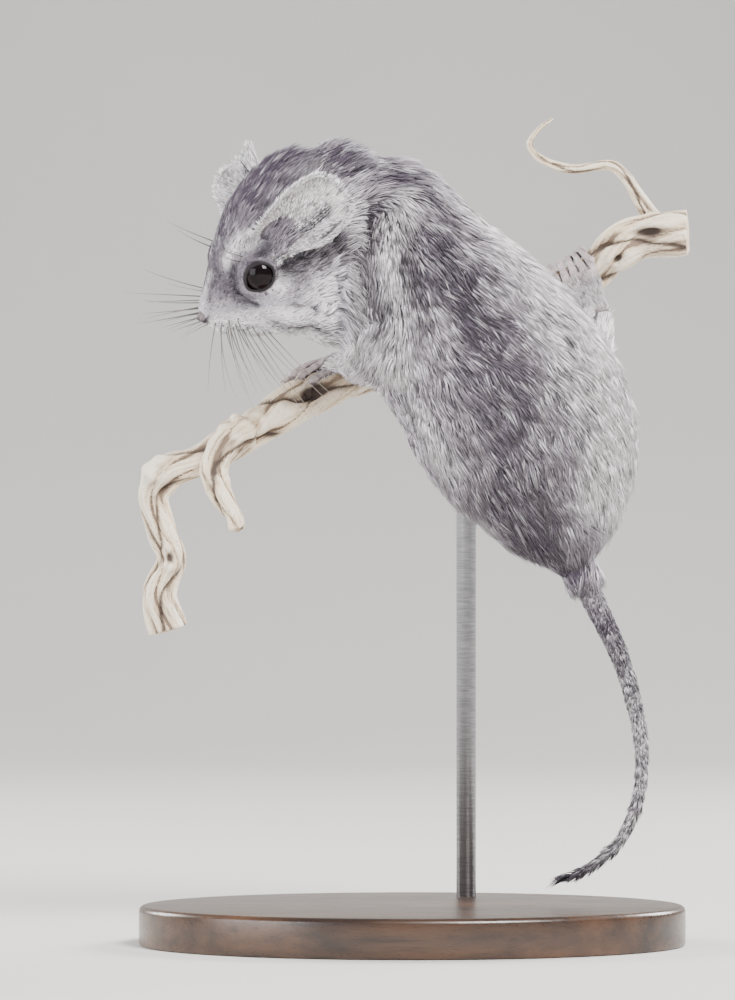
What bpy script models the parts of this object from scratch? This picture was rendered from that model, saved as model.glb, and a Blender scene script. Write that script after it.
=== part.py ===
"""Desert dormouse on a cut branch, held by a museum display stand.

Life size. Metres, +Z up, the origin at the middle of the stand's underside, on the table top.
The viewer looks along +Y: the animal shows its back, and its head is turned to the left in profile.
"""

import math

import bmesh
import bpy
from mathutils import Matrix, Vector
from mathutils.bvhtree import BVHTree

MM = 0.001
GAP = 0.3
SLACK = 0.04
UP = Vector((0, 0, 1))
TOWARDS_VIEWER = Vector((0, -1, 0))

# Driving dimensions, in millimetres.
HEAD_LENGTH = 30.0
BODY_HALF_WIDTH = 17.9
EYE_RADIUS = 2.75
EAR_LENGTH = 12.5
TAIL_ROOT_RADIUS = 2.3
BRANCH_RADIUS = 2.6
BASE_LENGTH = 82.0
BASE_WIDTH = 54.0
BASE_HEIGHT = 6.0
ROD_RADIUS = 1.5

# How the head is carried: nose down and left, turned a little to the viewer, crown leaning out.
HEAD_PITCH = math.radians(45)
HEAD_YAW = math.radians(7)
HEAD_ROLL = math.radians(27)
NOSE_TIP = (-31.6, -5.0, 93.9)

# Torso stations along the spine: x, y, z, half width, half depth.
TORSO = (
    (-13.2, -1.0, 108.9, 12.6, 11.2),
    (-7.6, -1.2, 105.3, 16.0, 12.6),
    (0.4, -1.4, 98.6, 16.0, 13.2),
    (9.0, -1.8, 90.4, 0.95 * BODY_HALF_WIDTH, 13.6),
    (15.7, -2.4, 80.9, BODY_HALF_WIDTH, 13.9),
    (20.2, -2.6, 71.6, 0.9 * BODY_HALF_WIDTH, 13.0),
    (23.2, -2.5, 62.6, 0.6 * BODY_HALF_WIDTH, 9.4),
    (24.7, -2.3, 57.4, 5.3, 4.9),
    (25.8, -2.3, 54.4, 2.9, 2.8),
)

# Head stations from the nose tip back: distance, half width, half height, height of the middle.
HEAD = (
    (-0.2, 0.7, 0.8, -0.4),
    (0.6, 1.9, 1.9, -0.6),
    (2.0, 3.2, 3.2, -1.0),
    (4.2, 4.6, 4.7, -1.2),
    (7.0, 6.2, 6.5, -1.1),
    (10.5, 8.0, 8.5, -0.7),
    (14.8, 9.7, 10.2, -0.2),
    (19.4, 10.7, 10.9, 0.1),
    (24.0, 10.6, 10.7, 0.1),
    (28.0, 9.0, 9.0, -0.2),
    (HEAD_LENGTH + 2.0, 5.0, 5.0, -0.6),
)

# Limbs from the trunk to the wrist or ankle: x, y, z, radius.
FORELEG_LEFT = (
    (1.5, -6.5, 101.0, 6.6),
    (-2.6, -8.0, 94.0, 5.2),
    (-5.6, -6.0, 88.6, 3.7),
    (-8.0, -0.6, 86.6, 2.5),
    (-9.8, 4.6, 87.3, 1.75),
)
FORELEG_RIGHT = (
    (3.0, 3.0, 98.0, 6.0),
    (4.4, 8.6, 93.4, 4.0),
    (2.6, 11.6, 88.6, 2.5),
    (-0.8, 12.6, 87.6, 1.6),
)
HINDLEG_LEFT = (
    (14.0, 0.0, 73.0, 9.0),
    (8.4, 5.6, 75.2, 6.6),
    (6.6, 9.6, 79.6, 4.4),
    (9.6, 12.4, 85.0, 2.6),
    (12.2, 13.6, 88.6, 1.7),
)
HINDLEG_RIGHT = (
    (22.5, 0.5, 75.0, 9.0),
    (25.2, 4.2, 81.0, 6.8),
    (26.9, 6.6, 87.0, 4.8),
    (28.0, 7.8, 92.6, 2.9),
    (27.7, 8.6, 96.4, 1.9),
)

# The tail's middle line and radius, from the rump to the tip.
TAIL = (
    (24.8, -2.2, 57.2, TAIL_ROOT_RADIUS),
    (26.4, -2.4, 53.2, TAIL_ROOT_RADIUS),
    (28.4, -3.2, 49.0, 2.05),
    (30.9, -4.4, 43.4, 1.75),
    (33.0, -5.4, 36.6, 1.5),
    (34.1, -5.4, 30.0, 1.28),
    (33.9, -4.4, 23.4, 1.1),
    (31.9, -2.8, 17.2, 0.92),
    (28.0, -1.0, 12.6, 0.78),
    (23.8, 0.6, 10.4, 0.58),
    (20.2, 1.8, 9.7, 0.28),
)
TAIL_LENGTHS = ("tail_root", "tail_middle", "tail_tip")

# The branch from its cut end at the right to its cut end at the lower left: x, y, z, radius.
BRANCH = (
    (42.0, 12.0, 107.4, 3.2),
    (37.6, 12.6, 107.2, 3.1),
    (33.8, 13.4, 106.4, 3.0),
    (30.2, 14.2, 104.2, 2.9),
    (26.2, 15.2, 100.7, 2.4),
    (15.0, 17.4, 95.8, BRANCH_RADIUS),
    (4.0, 17.8, 91.0, 2.5),
    (-5.0, 15.2, 86.6, 2.3),
    (-11.6, 12.0, 84.3, 2.7),
    (-16.8, 10.2, 81.6, 3.0),
    (-22.6, 8.8, 78.2, 2.6),
    (-27.0, 8.2, 75.4, 2.5),
    (-31.6, 8.2, 72.9, 2.3),
    (-36.6, 8.6, 71.2, 2.4),
    (-39.4, 9.2, 67.6, 2.2),
    (-38.2, 9.8, 62.4, 2.0),
    (-36.6, 10.2, 57.6, 2.0),
    (-38.4, 10.4, 52.4, 2.4),
    (-37.0, 10.6, 47.0, 3.0),
)
KNOTS = ((-23.8, 6.6, 77.8, 2.6), (-38.4, 8.2, 70.2, 2.7), (-13.4, 11.0, 83.2, 2.8))
HOOK_TWIG = (
    (-25.2, 6.0, 77.2, 2.4),
    (-28.2, 4.8, 75.0, 2.3),
    (-29.9, 4.0, 71.6, 1.95),
    (-28.9, 3.4, 67.8, 1.65),
    (-26.9, 2.8, 64.6, 1.35),
    (-26.3, 2.5, 62.4, 1.2),
)
FINE_TWIG = (
    (37.6, 12.6, 108.4, 1.5),
    (35.0, 12.9, 112.2, 1.05),
    (32.8, 13.2, 115.8, 0.85),
    (30.0, 13.4, 117.8, 0.75),
    (24.6, 13.6, 117.2, 0.65),
    (20.0, 13.2, 118.6, 0.6),
    (18.0, 12.6, 121.0, 0.5),
    (19.6, 12.2, 123.4, 0.4),
    (21.6, 12.0, 124.8, 0.3),
)
ROD_X = 8.5


def mm(*values):
    return Vector(values) * MM


def between(stations, steps):
    """A smooth run through the stations, every number of a station alike, with `steps` to each span."""
    made = []
    last = len(stations) - 1
    for i in range(last):
        four = [stations[max(0, min(last, i + k))] for k in (-1, 0, 1, 2)]
        for step in range(steps):
            t = step / steps
            weights = (
                -0.5 * t + t**2 - 0.5 * t**3,
                1 - 2.5 * t**2 + 1.5 * t**3,
                0.5 * t + 2 * t**2 - 1.5 * t**3,
                -0.5 * t**2 + 0.5 * t**3,
            )
            made.append(tuple(sum(w * s[k] for w, s in zip(weights, four)) for k in range(len(four[0]))))
    made.append(tuple(stations[last]))
    return made


def new_object(name, mesh, colour=(0.4, 0.4, 0.42), roughness=0.8, metallic=0.0):
    obj = bpy.data.objects.new(name, mesh)
    bpy.context.scene.collection.objects.link(obj)
    material = bpy.data.materials.get(name) or bpy.data.materials.new(name)
    material.use_nodes = True
    shader = material.node_tree.nodes["Principled BSDF"]
    shader.inputs["Base Color"].default_value = (*colour, 1)
    shader.inputs["Roughness"].default_value = roughness
    shader.inputs["Metallic"].default_value = metallic
    mesh.materials.clear()
    mesh.materials.append(material)
    return obj


def loft(name, rings):
    """A closed body through rings of the same number of points, in millimetres, with flat ends."""
    bm = bmesh.new()
    loops = [[bm.verts.new(point * MM) for point in ring] for ring in rings]
    count = len(rings[0])
    for one, two in zip(loops, loops[1:]):
        for k in range(count):
            bm.faces.new((one[k], one[(k + 1) % count], two[(k + 1) % count], two[k]))
    bm.faces.new(loops[0][::-1])
    bm.faces.new(loops[-1])
    bmesh.ops.recalc_face_normals(bm, faces=bm.faces)
    if bm.calc_volume(signed=True) < 0:
        bmesh.ops.reverse_faces(bm, faces=bm.faces)
    mesh = bpy.data.meshes.new(name)
    bm.to_mesh(mesh)
    bm.free()
    return new_object(name, mesh)


def tube(name, stations, sides=12, steps=3, round_start=True, round_end=True, ripple=None):
    """A round limb, twig or tail through stations of x, y, z and radius. Ripple shapes the radius."""
    run = between(stations, steps)
    points = [Vector(s[:3]) for s in run]
    radii = [s[3] for s in run]
    last = len(points) - 1
    tangents = [(points[min(i + 1, last)] - points[max(i - 1, 0)]).normalized() for i in range(last + 1)]
    side = tangents[0].orthogonal().normalized()
    frames = []
    for tangent in tangents:
        side = (side - tangent * side.dot(tangent)).normalized()
        frames.append((tangent, side, tangent.cross(side)))
    rings = []

    def ring(i, shift, scale):
        tangent, across, over = frames[i]
        middle = points[i] + tangent * shift
        made = []
        for k in range(sides):
            angle = 2 * math.pi * k / sides
            radius = radii[i] * scale * (ripple(angle, i / len(points)) if ripple else 1)
            made.append(middle + (across * math.cos(angle) + over * math.sin(angle)) * radius)
        rings.append(made)

    dome = [math.radians(a) for a in (75, 50, 25)]
    if round_start:
        for angle in dome:
            ring(0, -radii[0] * math.sin(angle), math.cos(angle))
    for i in range(len(points)):
        ring(i, 0, 1)
    if round_end:
        for angle in dome[::-1]:
            ring(last, radii[-1] * math.sin(angle), math.cos(angle))
    return loft(name, rings)


def ball(name, centre, radii, axes=None, segments=20, rings=12):
    """A ball or an egg at a point in millimetres, with its three radii along the given axes."""
    bm = bmesh.new()
    bmesh.ops.create_uvsphere(bm, u_segments=segments, v_segments=rings, radius=1)
    frame = Matrix.Identity(3) if axes is None else Matrix(axes).transposed()
    for vertex in bm.verts:
        scaled = Vector((vertex.co.x * radii[0], vertex.co.y * radii[1], vertex.co.z * radii[2]))
        vertex.co = (Vector(centre) + frame @ scaled) * MM
    bmesh.ops.recalc_face_normals(bm, faces=bm.faces)
    mesh = bpy.data.meshes.new(name)
    bm.to_mesh(mesh)
    bm.free()
    return new_object(name, mesh)


def apply_modifiers(obj):
    bpy.context.view_layer.update()
    graph = bpy.context.evaluated_depsgraph_get()
    made = bpy.data.meshes.new_from_object(obj.evaluated_get(graph))
    old = obj.data
    obj.modifiers.clear()
    obj.data = made
    bpy.data.meshes.remove(old)
    return obj


def discard(*objects):
    for obj in objects:
        bpy.data.objects.remove(obj)


def copy_of(obj, name):
    twin = bpy.data.objects.new(name, obj.data.copy())
    bpy.context.scene.collection.objects.link(twin)
    return twin


def swollen(obj, by=GAP + SLACK):
    """A copy of a body that is `by` millimetres larger all over."""
    twin = copy_of(obj, obj.name + "_swollen")
    push = twin.modifiers.new("Swell", "DISPLACE")
    push.mid_level = 0
    push.strength = by * MM
    return apply_modifiers(twin)


def is_closed(mesh):
    bm = bmesh.new()
    bm.from_mesh(mesh)
    closed = len(bm.faces) > 0 and all(len(edge.link_faces) == 2 for edge in bm.edges)
    bm.free()
    return closed


def boolean(obj, others, operation):
    """Joins or cuts with the exact solver, and with the manifold one where that leaves an open surface."""
    group = bpy.data.collections.new("pieces")
    for other in others:
        group.objects.link(other)
    before = obj.data.copy()
    for solver in ("EXACT", "MANIFOLD"):
        obj.data = before.copy()
        cut = obj.modifiers.new("Cut", "BOOLEAN")
        cut.operation = operation
        cut.operand_type = "COLLECTION"
        cut.collection = group
        cut.solver = solver
        apply_modifiers(obj)
        if is_closed(obj.data):
            break
    bpy.data.collections.remove(group)
    bpy.data.meshes.remove(before)
    discard(*others)
    return obj


def fused(name, pieces):
    """One closed body from pieces that overlap."""
    first = pieces[0]
    boolean(first, pieces[1:], "UNION")
    first.name = name
    return keep_largest(first)


def thinned(obj, ratio):
    """Fewer facets, where that leaves the body closed."""
    kept = obj.data.copy()
    thin = obj.modifiers.new("Thin", "DECIMATE")
    thin.ratio = ratio
    apply_modifiers(obj)
    if not is_closed(obj.data):
        obj.data = kept
    return obj


def islands(bm):
    """The separate closed surfaces of a mesh, as lists of faces."""
    left = set(bm.faces)
    found = []
    while left:
        seed = left.pop()
        group, edge = [seed], [seed]
        while edge:
            face = edge.pop()
            for side in face.edges:
                for other in side.link_faces:
                    if other in left:
                        left.discard(other)
                        group.append(other)
                        edge.append(other)
        found.append(group)
    return found


def keep_largest(obj):
    bm = bmesh.new()
    bm.from_mesh(obj.data)
    groups = sorted(islands(bm), key=lambda faces: sum(f.calc_area() for f in faces))
    for faces in groups[:-1]:
        bmesh.ops.delete(bm, geom=faces, context="FACES")
    bmesh.ops.delete(bm, geom=[v for v in bm.verts if not v.link_faces], context="VERTS")
    bmesh.ops.triangulate(bm, faces=bm.faces)
    bm.to_mesh(obj.data)
    bm.free()
    return obj


def common(obj, region, name):
    """The part of a body inside a region, as a new object."""
    twin = copy_of(obj, name)
    boolean(twin, [copy_of(region, "region")], "INTERSECT")
    return keep_largest(twin)


def carve(body, region, name):
    """Parts a body along a region's surface: what lies inside it becomes a node, and a thin gap is left."""
    piece = common(body, region, name)
    boolean(body, [swollen(region, GAP)], "DIFFERENCE")
    keep_largest(body)
    discard(region)
    return piece


def stand_clear(obj, *neighbours):
    """Cuts a body back so that it meets its neighbours face to face across the gap."""
    boolean(obj, [swollen(n) for n in neighbours], "DIFFERENCE")
    return keep_largest(obj)


def slab(name, point, normal, reach):
    """A thin disc across the flesh: what it removes is the parting line between two nodes."""
    bm = bmesh.new()
    turn = UP.rotation_difference(normal).to_matrix().to_4x4()
    place = Matrix.Translation(Vector(point) * MM) @ turn
    bmesh.ops.create_cone(
        bm, cap_ends=True, segments=32, radius1=reach * MM, radius2=reach * MM, depth=GAP * MM, matrix=place
    )
    mesh = bpy.data.meshes.new(name)
    bm.to_mesh(mesh)
    bm.free()
    return new_object(name, mesh)


def part_by_slabs(body, slabs, seeds):
    """Cuts a body with the slabs and names each of the bodies that are left after the seed nearest to it."""
    boolean(body, slabs, "DIFFERENCE")
    bm = bmesh.new()
    bm.from_mesh(body.data)
    groups = sorted(islands(bm), key=len, reverse=True)[: len(seeds)]
    parts = {}
    for faces in groups:
        middle = sum((f.calc_center_median() for f in faces), Vector()) / len(faces)
        name = min(seeds, key=lambda n: (middle - Vector(seeds[n]) * MM).length)
        piece = bmesh.new()
        index = {}
        for face in faces:
            corners = []
            for vertex in face.verts:
                if vertex not in index:
                    index[vertex] = piece.verts.new(vertex.co)
                corners.append(index[vertex])
            piece.faces.new(corners)
        bmesh.ops.triangulate(piece, faces=piece.faces)
        mesh = bpy.data.meshes.new(name)
        piece.to_mesh(mesh)
        piece.free()
        parts[name] = new_object(name, mesh)
    bm.free()
    discard(body)
    return parts


def head_axes():
    """Forward, up and left of the head, as it is carried."""
    flat = Vector((-math.cos(HEAD_PITCH), 0, -math.sin(HEAD_PITCH)))
    forward = (flat * math.cos(HEAD_YAW) + TOWARDS_VIEWER * math.sin(HEAD_YAW)).normalized()
    level_up = Vector((-math.sin(HEAD_PITCH), 0, math.cos(HEAD_PITCH)))
    level_up = (level_up - forward * level_up.dot(forward)).normalized()
    level_left = level_up.cross(forward)
    up = level_up * math.cos(HEAD_ROLL) + level_left * math.sin(HEAD_ROLL)
    return forward, up, up.cross(forward)


FORWARD, HEAD_UP, HEAD_LEFT = head_axes()


def on_head(back, left, up):
    """A point of the head in millimetres: behind the nose tip, to the animal's left, and up."""
    return Vector(NOSE_TIP) - FORWARD * back + HEAD_LEFT * left + HEAD_UP * up


def head_direction(forward, left, up):
    return (FORWARD * forward + HEAD_LEFT * left + HEAD_UP * up).normalized()


def torso_body():
    run = between(TORSO, 4)
    sides = 28
    rings = []
    for i, (x, y, z, half_width, half_depth) in enumerate(run):
        before, after = run[max(i - 1, 0)], run[min(i + 1, len(run) - 1)]
        spine = (Vector(before[:3]) - Vector(after[:3])).normalized()
        across = spine.cross(TOWARDS_VIEWER).normalized()
        out = across.cross(spine)
        ring = []
        for k in range(sides):
            angle = 2 * math.pi * k / sides
            edge = across * half_width * math.cos(angle) + out * half_depth * math.sin(angle)
            ring.append(Vector((x, y, z)) + edge)
        rings.append(ring)
    return loft("torso", rings)


def head_body():
    rings = []
    sides = 28
    for back, half_width, half_height, middle in between(HEAD, 3):
        ring = []
        for k in range(sides):
            angle = 2 * math.pi * k / sides
            ring.append(on_head(back, half_width * math.cos(angle), middle + half_height * math.sin(angle)))
        rings.append(ring)
    return loft("head", rings)


def head_forms():
    """The lip pads, chin, jaws, cheeks and eye bulges that stand out of the plain head, and the nape."""
    axes = (HEAD_LEFT, FORWARD, HEAD_UP)
    made = [
        ball("chin", on_head(4.9, 0, -4.5), (1.7, 3.0, 1.4), axes),
        ball("nape", on_head(28.5, 0.5, -0.8), (9.2, 8.2, 8.4), axes),
    ]
    for side in (1, -1):
        looks = head_direction(EYE_FACES[0], EYE_FACES[1] * side, EYE_FACES[2])
        bulge = on_head(EYE_AT[0] + 0.2, (EYE_AT[1] - 0.5) * side, EYE_AT[2])
        made.append(ball("lip_pad", on_head(2.7, 1.7 * side, -2.3), (1.9, 2.4, 1.6), axes))
        made.append(ball("jaw", on_head(8.0, 3.4 * side, -4.6), (3.3, 5.6, 3.3), axes))
        made.append(ball("cheek", on_head(12.6, 5.6 * side, -4.7), (4.5, 6.8, 4.4), axes))
        across = HEAD_UP.cross(looks)
        made.append(ball("eye_bulge", bulge, (3.7, 3.7, 2.7), (across, looks.cross(across), looks)))
    return made


def blended_flesh():
    """Head, torso and limbs as one skin: joined, remeshed and smoothed so that no seam shows."""
    pieces = [torso_body(), head_body(), *head_forms()]
    for limb in (FORELEG_LEFT, FORELEG_RIGHT, HINDLEG_LEFT, HINDLEG_RIGHT):
        pieces.append(tube("limb", limb, sides=16, steps=3))
    flesh = fused("flesh", pieces)
    blend = flesh.modifiers.new("Blend", "REMESH")
    blend.mode = "VOXEL"
    blend.voxel_size = 0.55 * MM
    smooth = flesh.modifiers.new("Smooth", "SMOOTH")
    smooth.factor = 0.5
    smooth.iterations = 9
    thin = flesh.modifiers.new("Thin", "DECIMATE")
    thin.ratio = 0.046
    apply_modifiers(flesh)
    return keep_largest(flesh)


def limb_region(name, stations, spare, first=0):
    return tube(name, [(x, y, z, r + spare) for x, y, z, r in stations[first:]], sides=16, steps=3)


def limb_nodes(flesh):
    return {
        "foreleg_left": carve(flesh, limb_region("cut_a", FORELEG_LEFT, 0.9, 1), "foreleg_left"),
        "foreleg_right": carve(flesh, limb_region("cut_b", FORELEG_RIGHT, 0.9, 1), "foreleg_right"),
        "hindleg_left": carve(flesh, limb_region("cut_c", HINDLEG_LEFT, 0.9, 1), "hindleg_left"),
        "hindleg_right": carve(flesh, limb_region("cut_d", HINDLEG_RIGHT, 0.9, 1), "hindleg_right"),
    }


THROAT, NAPE = Vector((-16.8, 0, 89.0)), Vector((-8.4, 0, 121.5))
CHEST, WITHERS = Vector((-10.6, 0, 83.0)), Vector((1.5, 0, 118.5))


def trunk_nodes(flesh):
    """Head, neck and torso, parted by two thin discs."""
    slabs = []
    for low, high in ((THROAT, NAPE), (CHEST, WITHERS)):
        normal = (high - low).cross(TOWARDS_VIEWER).normalized()
        slabs.append(slab("parting", (low + high) / 2 + Vector((0, -1, 0)), normal, 24.0))
    seeds = {"head": on_head(14, 0, 0), "neck": (-9.0, -1.0, 103.0), "torso": (15.0, -1.0, 82.0)}
    return part_by_slabs(flesh, slabs, seeds)


def surface(obj):
    bm = bmesh.new()
    bm.from_mesh(obj.data)
    tree = BVHTree.FromBMesh(bm)
    bm.free()
    return tree


def snapped(tree, point):
    """The nearest point of a surface, and its outward direction, in millimetres."""
    place, normal, _, _ = tree.find_nearest(Vector(point) * MM)
    return place / MM, normal


EYE_AT = (10.2, 6.45, 1.2)
EYE_FACES = (0.34, 0.90, 0.26)


def eye_place(side):
    """The middle of an eyeball and the way it looks."""
    looks = head_direction(EYE_FACES[0], EYE_FACES[1] * side, EYE_FACES[2])
    return on_head(EYE_AT[0], EYE_AT[1] * side, EYE_AT[2]), looks


def circle(middle, axis, radius, count, squash=1.0, tall=None):
    across = (tall or axis.orthogonal()).cross(axis).normalized()
    over = axis.cross(across)
    angles = [2 * math.pi * k / count for k in range(count)]
    return [middle + across * radius * math.cos(a) + over * radius * squash * math.sin(a) for a in angles]


def lid_ring(side):
    """The lids: a soft rim of skin round the eye opening."""
    centre, looks = eye_place(side)
    middle = centre + looks * (0.42 * EYE_RADIUS)
    spine = circle(middle, looks, 0.99 * EYE_RADIUS, 18, 0.93, HEAD_UP)
    sides = 6
    rings = []
    for i, point in enumerate(spine):
        out = (point - middle).normalized()
        rings.append(
            [
                point
                + out * 0.52 * math.cos(2 * math.pi * k / sides)
                + looks * 0.5 * math.sin(2 * math.pi * k / sides)
                for k in range(sides)
            ]
        )
    bm = bmesh.new()
    loops = [[bm.verts.new(p * MM) for p in ring] for ring in rings]
    for i, one in enumerate(loops):
        two = loops[(i + 1) % len(loops)]
        for k in range(sides):
            bm.faces.new((one[k], one[(k + 1) % sides], two[(k + 1) % sides], two[k]))
    bmesh.ops.recalc_face_normals(bm, faces=bm.faces)
    mesh = bpy.data.meshes.new("lids")
    bm.to_mesh(mesh)
    bm.free()
    return new_object("lids", mesh)


def mouth_cutters(tree):
    """The line of the mouth, the split under the nose, and the nostrils, as cutters on the surface."""
    half = ((9.6, 5.4, -6.4), (7.4, 4.9, -5.2), (5.2, 4.0, -4.4), (3.2, 2.6, -4.1), (1.9, 1.1, -3.9))
    line = [*half, (1.7, 0, -3.8), *((back, -left, up) for back, left, up in half[::-1])]
    run = [(*snapped(tree, on_head(*point))[0], 0.34) for point in line]
    made = [tube("mouth", run, 8, 2)]
    split = ((-0.1, 0, -1.5), (0.7, 0, -2.7), (1.5, 0, -3.7))
    made.append(tube("split", [(*snapped(tree, on_head(*point))[0], 0.24) for point in split], 8, 2))
    for side in (1, -1):
        inner, _ = snapped(tree, on_head(-0.3, 0.55 * side, -0.55))
        outer, _ = snapped(tree, on_head(0.4, 1.5 * side, -0.3))
        made.append(tube("nostril", ((*inner, 0.3), (*outer, 0.2)), 8, 2))
    return made


def finish_head(head):
    tree = surface(head)
    boolean(head, [lid_ring(side) for side in (1, -1)], "UNION")
    keep_largest(head)
    cutters = mouth_cutters(tree)
    for side in (1, -1):
        centre, _ = eye_place(side)
        radius = EYE_RADIUS + GAP + SLACK
        cutters.append(ball("socket", centre, (radius, radius, radius), segments=18, rings=12))
    boolean(head, cutters, "DIFFERENCE")
    return keep_largest(head)


def eye_nodes():
    made = {}
    for name, side in (("eye_left", 1), ("eye_right", -1)):
        centre, looks = eye_place(side)
        across = looks.orthogonal().normalized()
        axes = (across, looks.cross(across), looks)
        made[name] = ball(name, centre, (EYE_RADIUS,) * 3, axes, segments=16, rings=10)
    return made


# Each ear: the middle of its root, its tip, and the way its hollow faces, in the row's own axes.
EARS = {
    "ear_left": {"root": (-18.9, -11.0, 104.9), "tip": (-10.6, -16.8, 111.9), "faces": (-0.50, -0.84, -0.14)},
    "ear_right": {"root": (-22.8, 3.6, 110.8), "tip": (-26.2, 7.2, 118.6), "faces": (-0.62, -0.74, -0.26)},
}
EAR_SUNK = 2.2
EAR_THICKNESS = 0.85
EAR_HALF_WIDTH = 5.3


def ear_shell(name, root, tip, faces):
    """A thin rounded leaf, cupped deep at the root and shallow at the tip, with its edges towards `faces`."""
    root, tip, faces = Vector(root), Vector(tip), Vector(faces)
    along = (tip - root).normalized()
    faces = (faces - along * faces.dot(along)).normalized()
    across = along.cross(faces)
    length = (tip - root).length + EAR_SUNK
    rows, columns = 10, 9
    bm = bmesh.new()
    grid = []
    for i in range(rows):
        share = i / (rows - 1)
        reach = length * math.sin(0.5 * math.pi * share) ** 0.9 - EAR_SUNK
        full = EAR_HALF_WIDTH * (0.68 + 0.32 * math.sin(math.pi * min(0.5, 1.1 * share)))
        width = full * math.sqrt(max(0.02, 1 - max(0.0, (share - 0.42) / 0.585) ** 2.2))
        cup = (3.6 - 2.7 * share) * (width / full)
        row = []
        for j in range(columns):
            v = 2 * j / (columns - 1) - 1
            curl = math.sin(0.5 * math.pi * v)
            depth = cup * v * v - 0.9 + 0.8 * math.sin(math.pi * share)
            row.append(bm.verts.new((root + along * reach + across * width * curl + faces * depth) * MM))
        grid.append(row)
    for one, two in zip(grid, grid[1:]):
        for j in range(columns - 1):
            bm.faces.new((one[j], one[j + 1], two[j + 1], two[j]))
    bmesh.ops.recalc_face_normals(bm, faces=bm.faces)
    mesh = bpy.data.meshes.new(name)
    bm.to_mesh(mesh)
    bm.free()
    shell = new_object(name, mesh)
    thick = shell.modifiers.new("Thickness", "SOLIDIFY")
    thick.thickness = EAR_THICKNESS * MM
    thick.offset = 0
    return apply_modifiers(shell)


def branch_ripple(angle, share):
    """Twisted strands of wood round the branch, with knots along it."""
    twist = 11.0 * share
    strands = 0.10 * math.cos(3 * angle + twist) + 0.05 * math.cos(5 * angle - 1.7 * twist)
    knots = 0.05 * math.sin(37 * share + 1.5 * math.cos(angle)) + 0.04 * math.sin(61 * share)
    return 0.98 + strands + knots


def branch_nodes():
    branch = tube("perch_branch", BRANCH, 14, 2, False, False, branch_ripple)
    fused("perch_branch", [branch] + [ball("knot", k[:3], (k[3],) * 3, segments=10, rings=8) for k in KNOTS])
    hook = tube("perch_twig_hook", HOOK_TWIG, 9, 2, True, True)
    fine = tube("perch_twig_fine", FINE_TWIG, 7, 2, True, True)
    stand_clear(hook, branch)
    stand_clear(fine, branch)
    return {obj.name: obj for obj in (keep_largest(branch), hook, fine)}


BRANCH_LINE = between(BRANCH, 60)


def branch_at(x):
    """The branch's middle line, radius and direction where it crosses the given x, right of its bend."""
    above_bend = [k for k in range(1, len(BRANCH_LINE) - 1) if BRANCH_LINE[k][2] >= 70]
    i = min(above_bend, key=lambda k: abs(BRANCH_LINE[k][0] - x))
    along = (Vector(BRANCH_LINE[i - 1][:3]) - Vector(BRANCH_LINE[i + 1][:3])).normalized()
    return Vector(BRANCH_LINE[i][:3]), BRANCH_LINE[i][3], along


# Each paw: where it grips along the branch, its digits, their pitch and radius, the angles round the wood
# between which they lie (0 faces the viewer, 90 is on top), and how far they slide along it to the left.
PAW_SIZES = ("x", "digits", "pitch", "radius", "start", "end", "slide")
PAWS = {
    "forepaw_left": (-11.6, 4, 1.5, 0.6, 66, 66, 4.4),
    "forepaw_right": (-2.6, 4, 1.45, 0.56, 30, 128, 0.5),
    "hindpaw_left": (12.4, 5, 1.6, 0.62, 18, 122, 0),
    "hindpaw_right": (26.0, 5, 1.65, 0.64, 22, 124, 0.6),
}
LIMBS = {
    "forepaw_left": FORELEG_LEFT,
    "forepaw_right": FORELEG_RIGHT,
    "hindpaw_left": HINDLEG_LEFT,
    "hindpaw_right": HINDLEG_RIGHT,
}


def on_branch(x, degrees, lift):
    """A point `lift` clear of the wood: 0 degrees faces the viewer, 90 is on top, and 180 is behind."""
    middle, wood, along = branch_at(x)
    top = (UP - along * UP.dot(along)).normalized()
    front = (TOWARDS_VIEWER - along * TOWARDS_VIEWER.dot(along)).normalized()
    angle = math.radians(degrees)
    return middle + (front * math.cos(angle) + top * math.sin(angle)) * (1.15 * wood + GAP + lift)


def flat_tube(name, sections, sides=14):
    """A flattened tube through sections: middle, half width, half thickness, and the way the width runs."""
    rings = []
    for i, (middle, half_width, half_thickness, across) in enumerate(sections):
        before, after = sections[max(i - 1, 0)][0], sections[min(i + 1, len(sections) - 1)][0]
        out = (after - before).normalized().cross(across).normalized()
        ring = []
        for k in range(sides):
            angle = 2 * math.pi * k / sides
            ring.append(middle + across * half_width * math.cos(angle) + out * half_thickness * math.sin(angle))
        rings.append(ring)
    return loft(name, rings)


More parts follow.
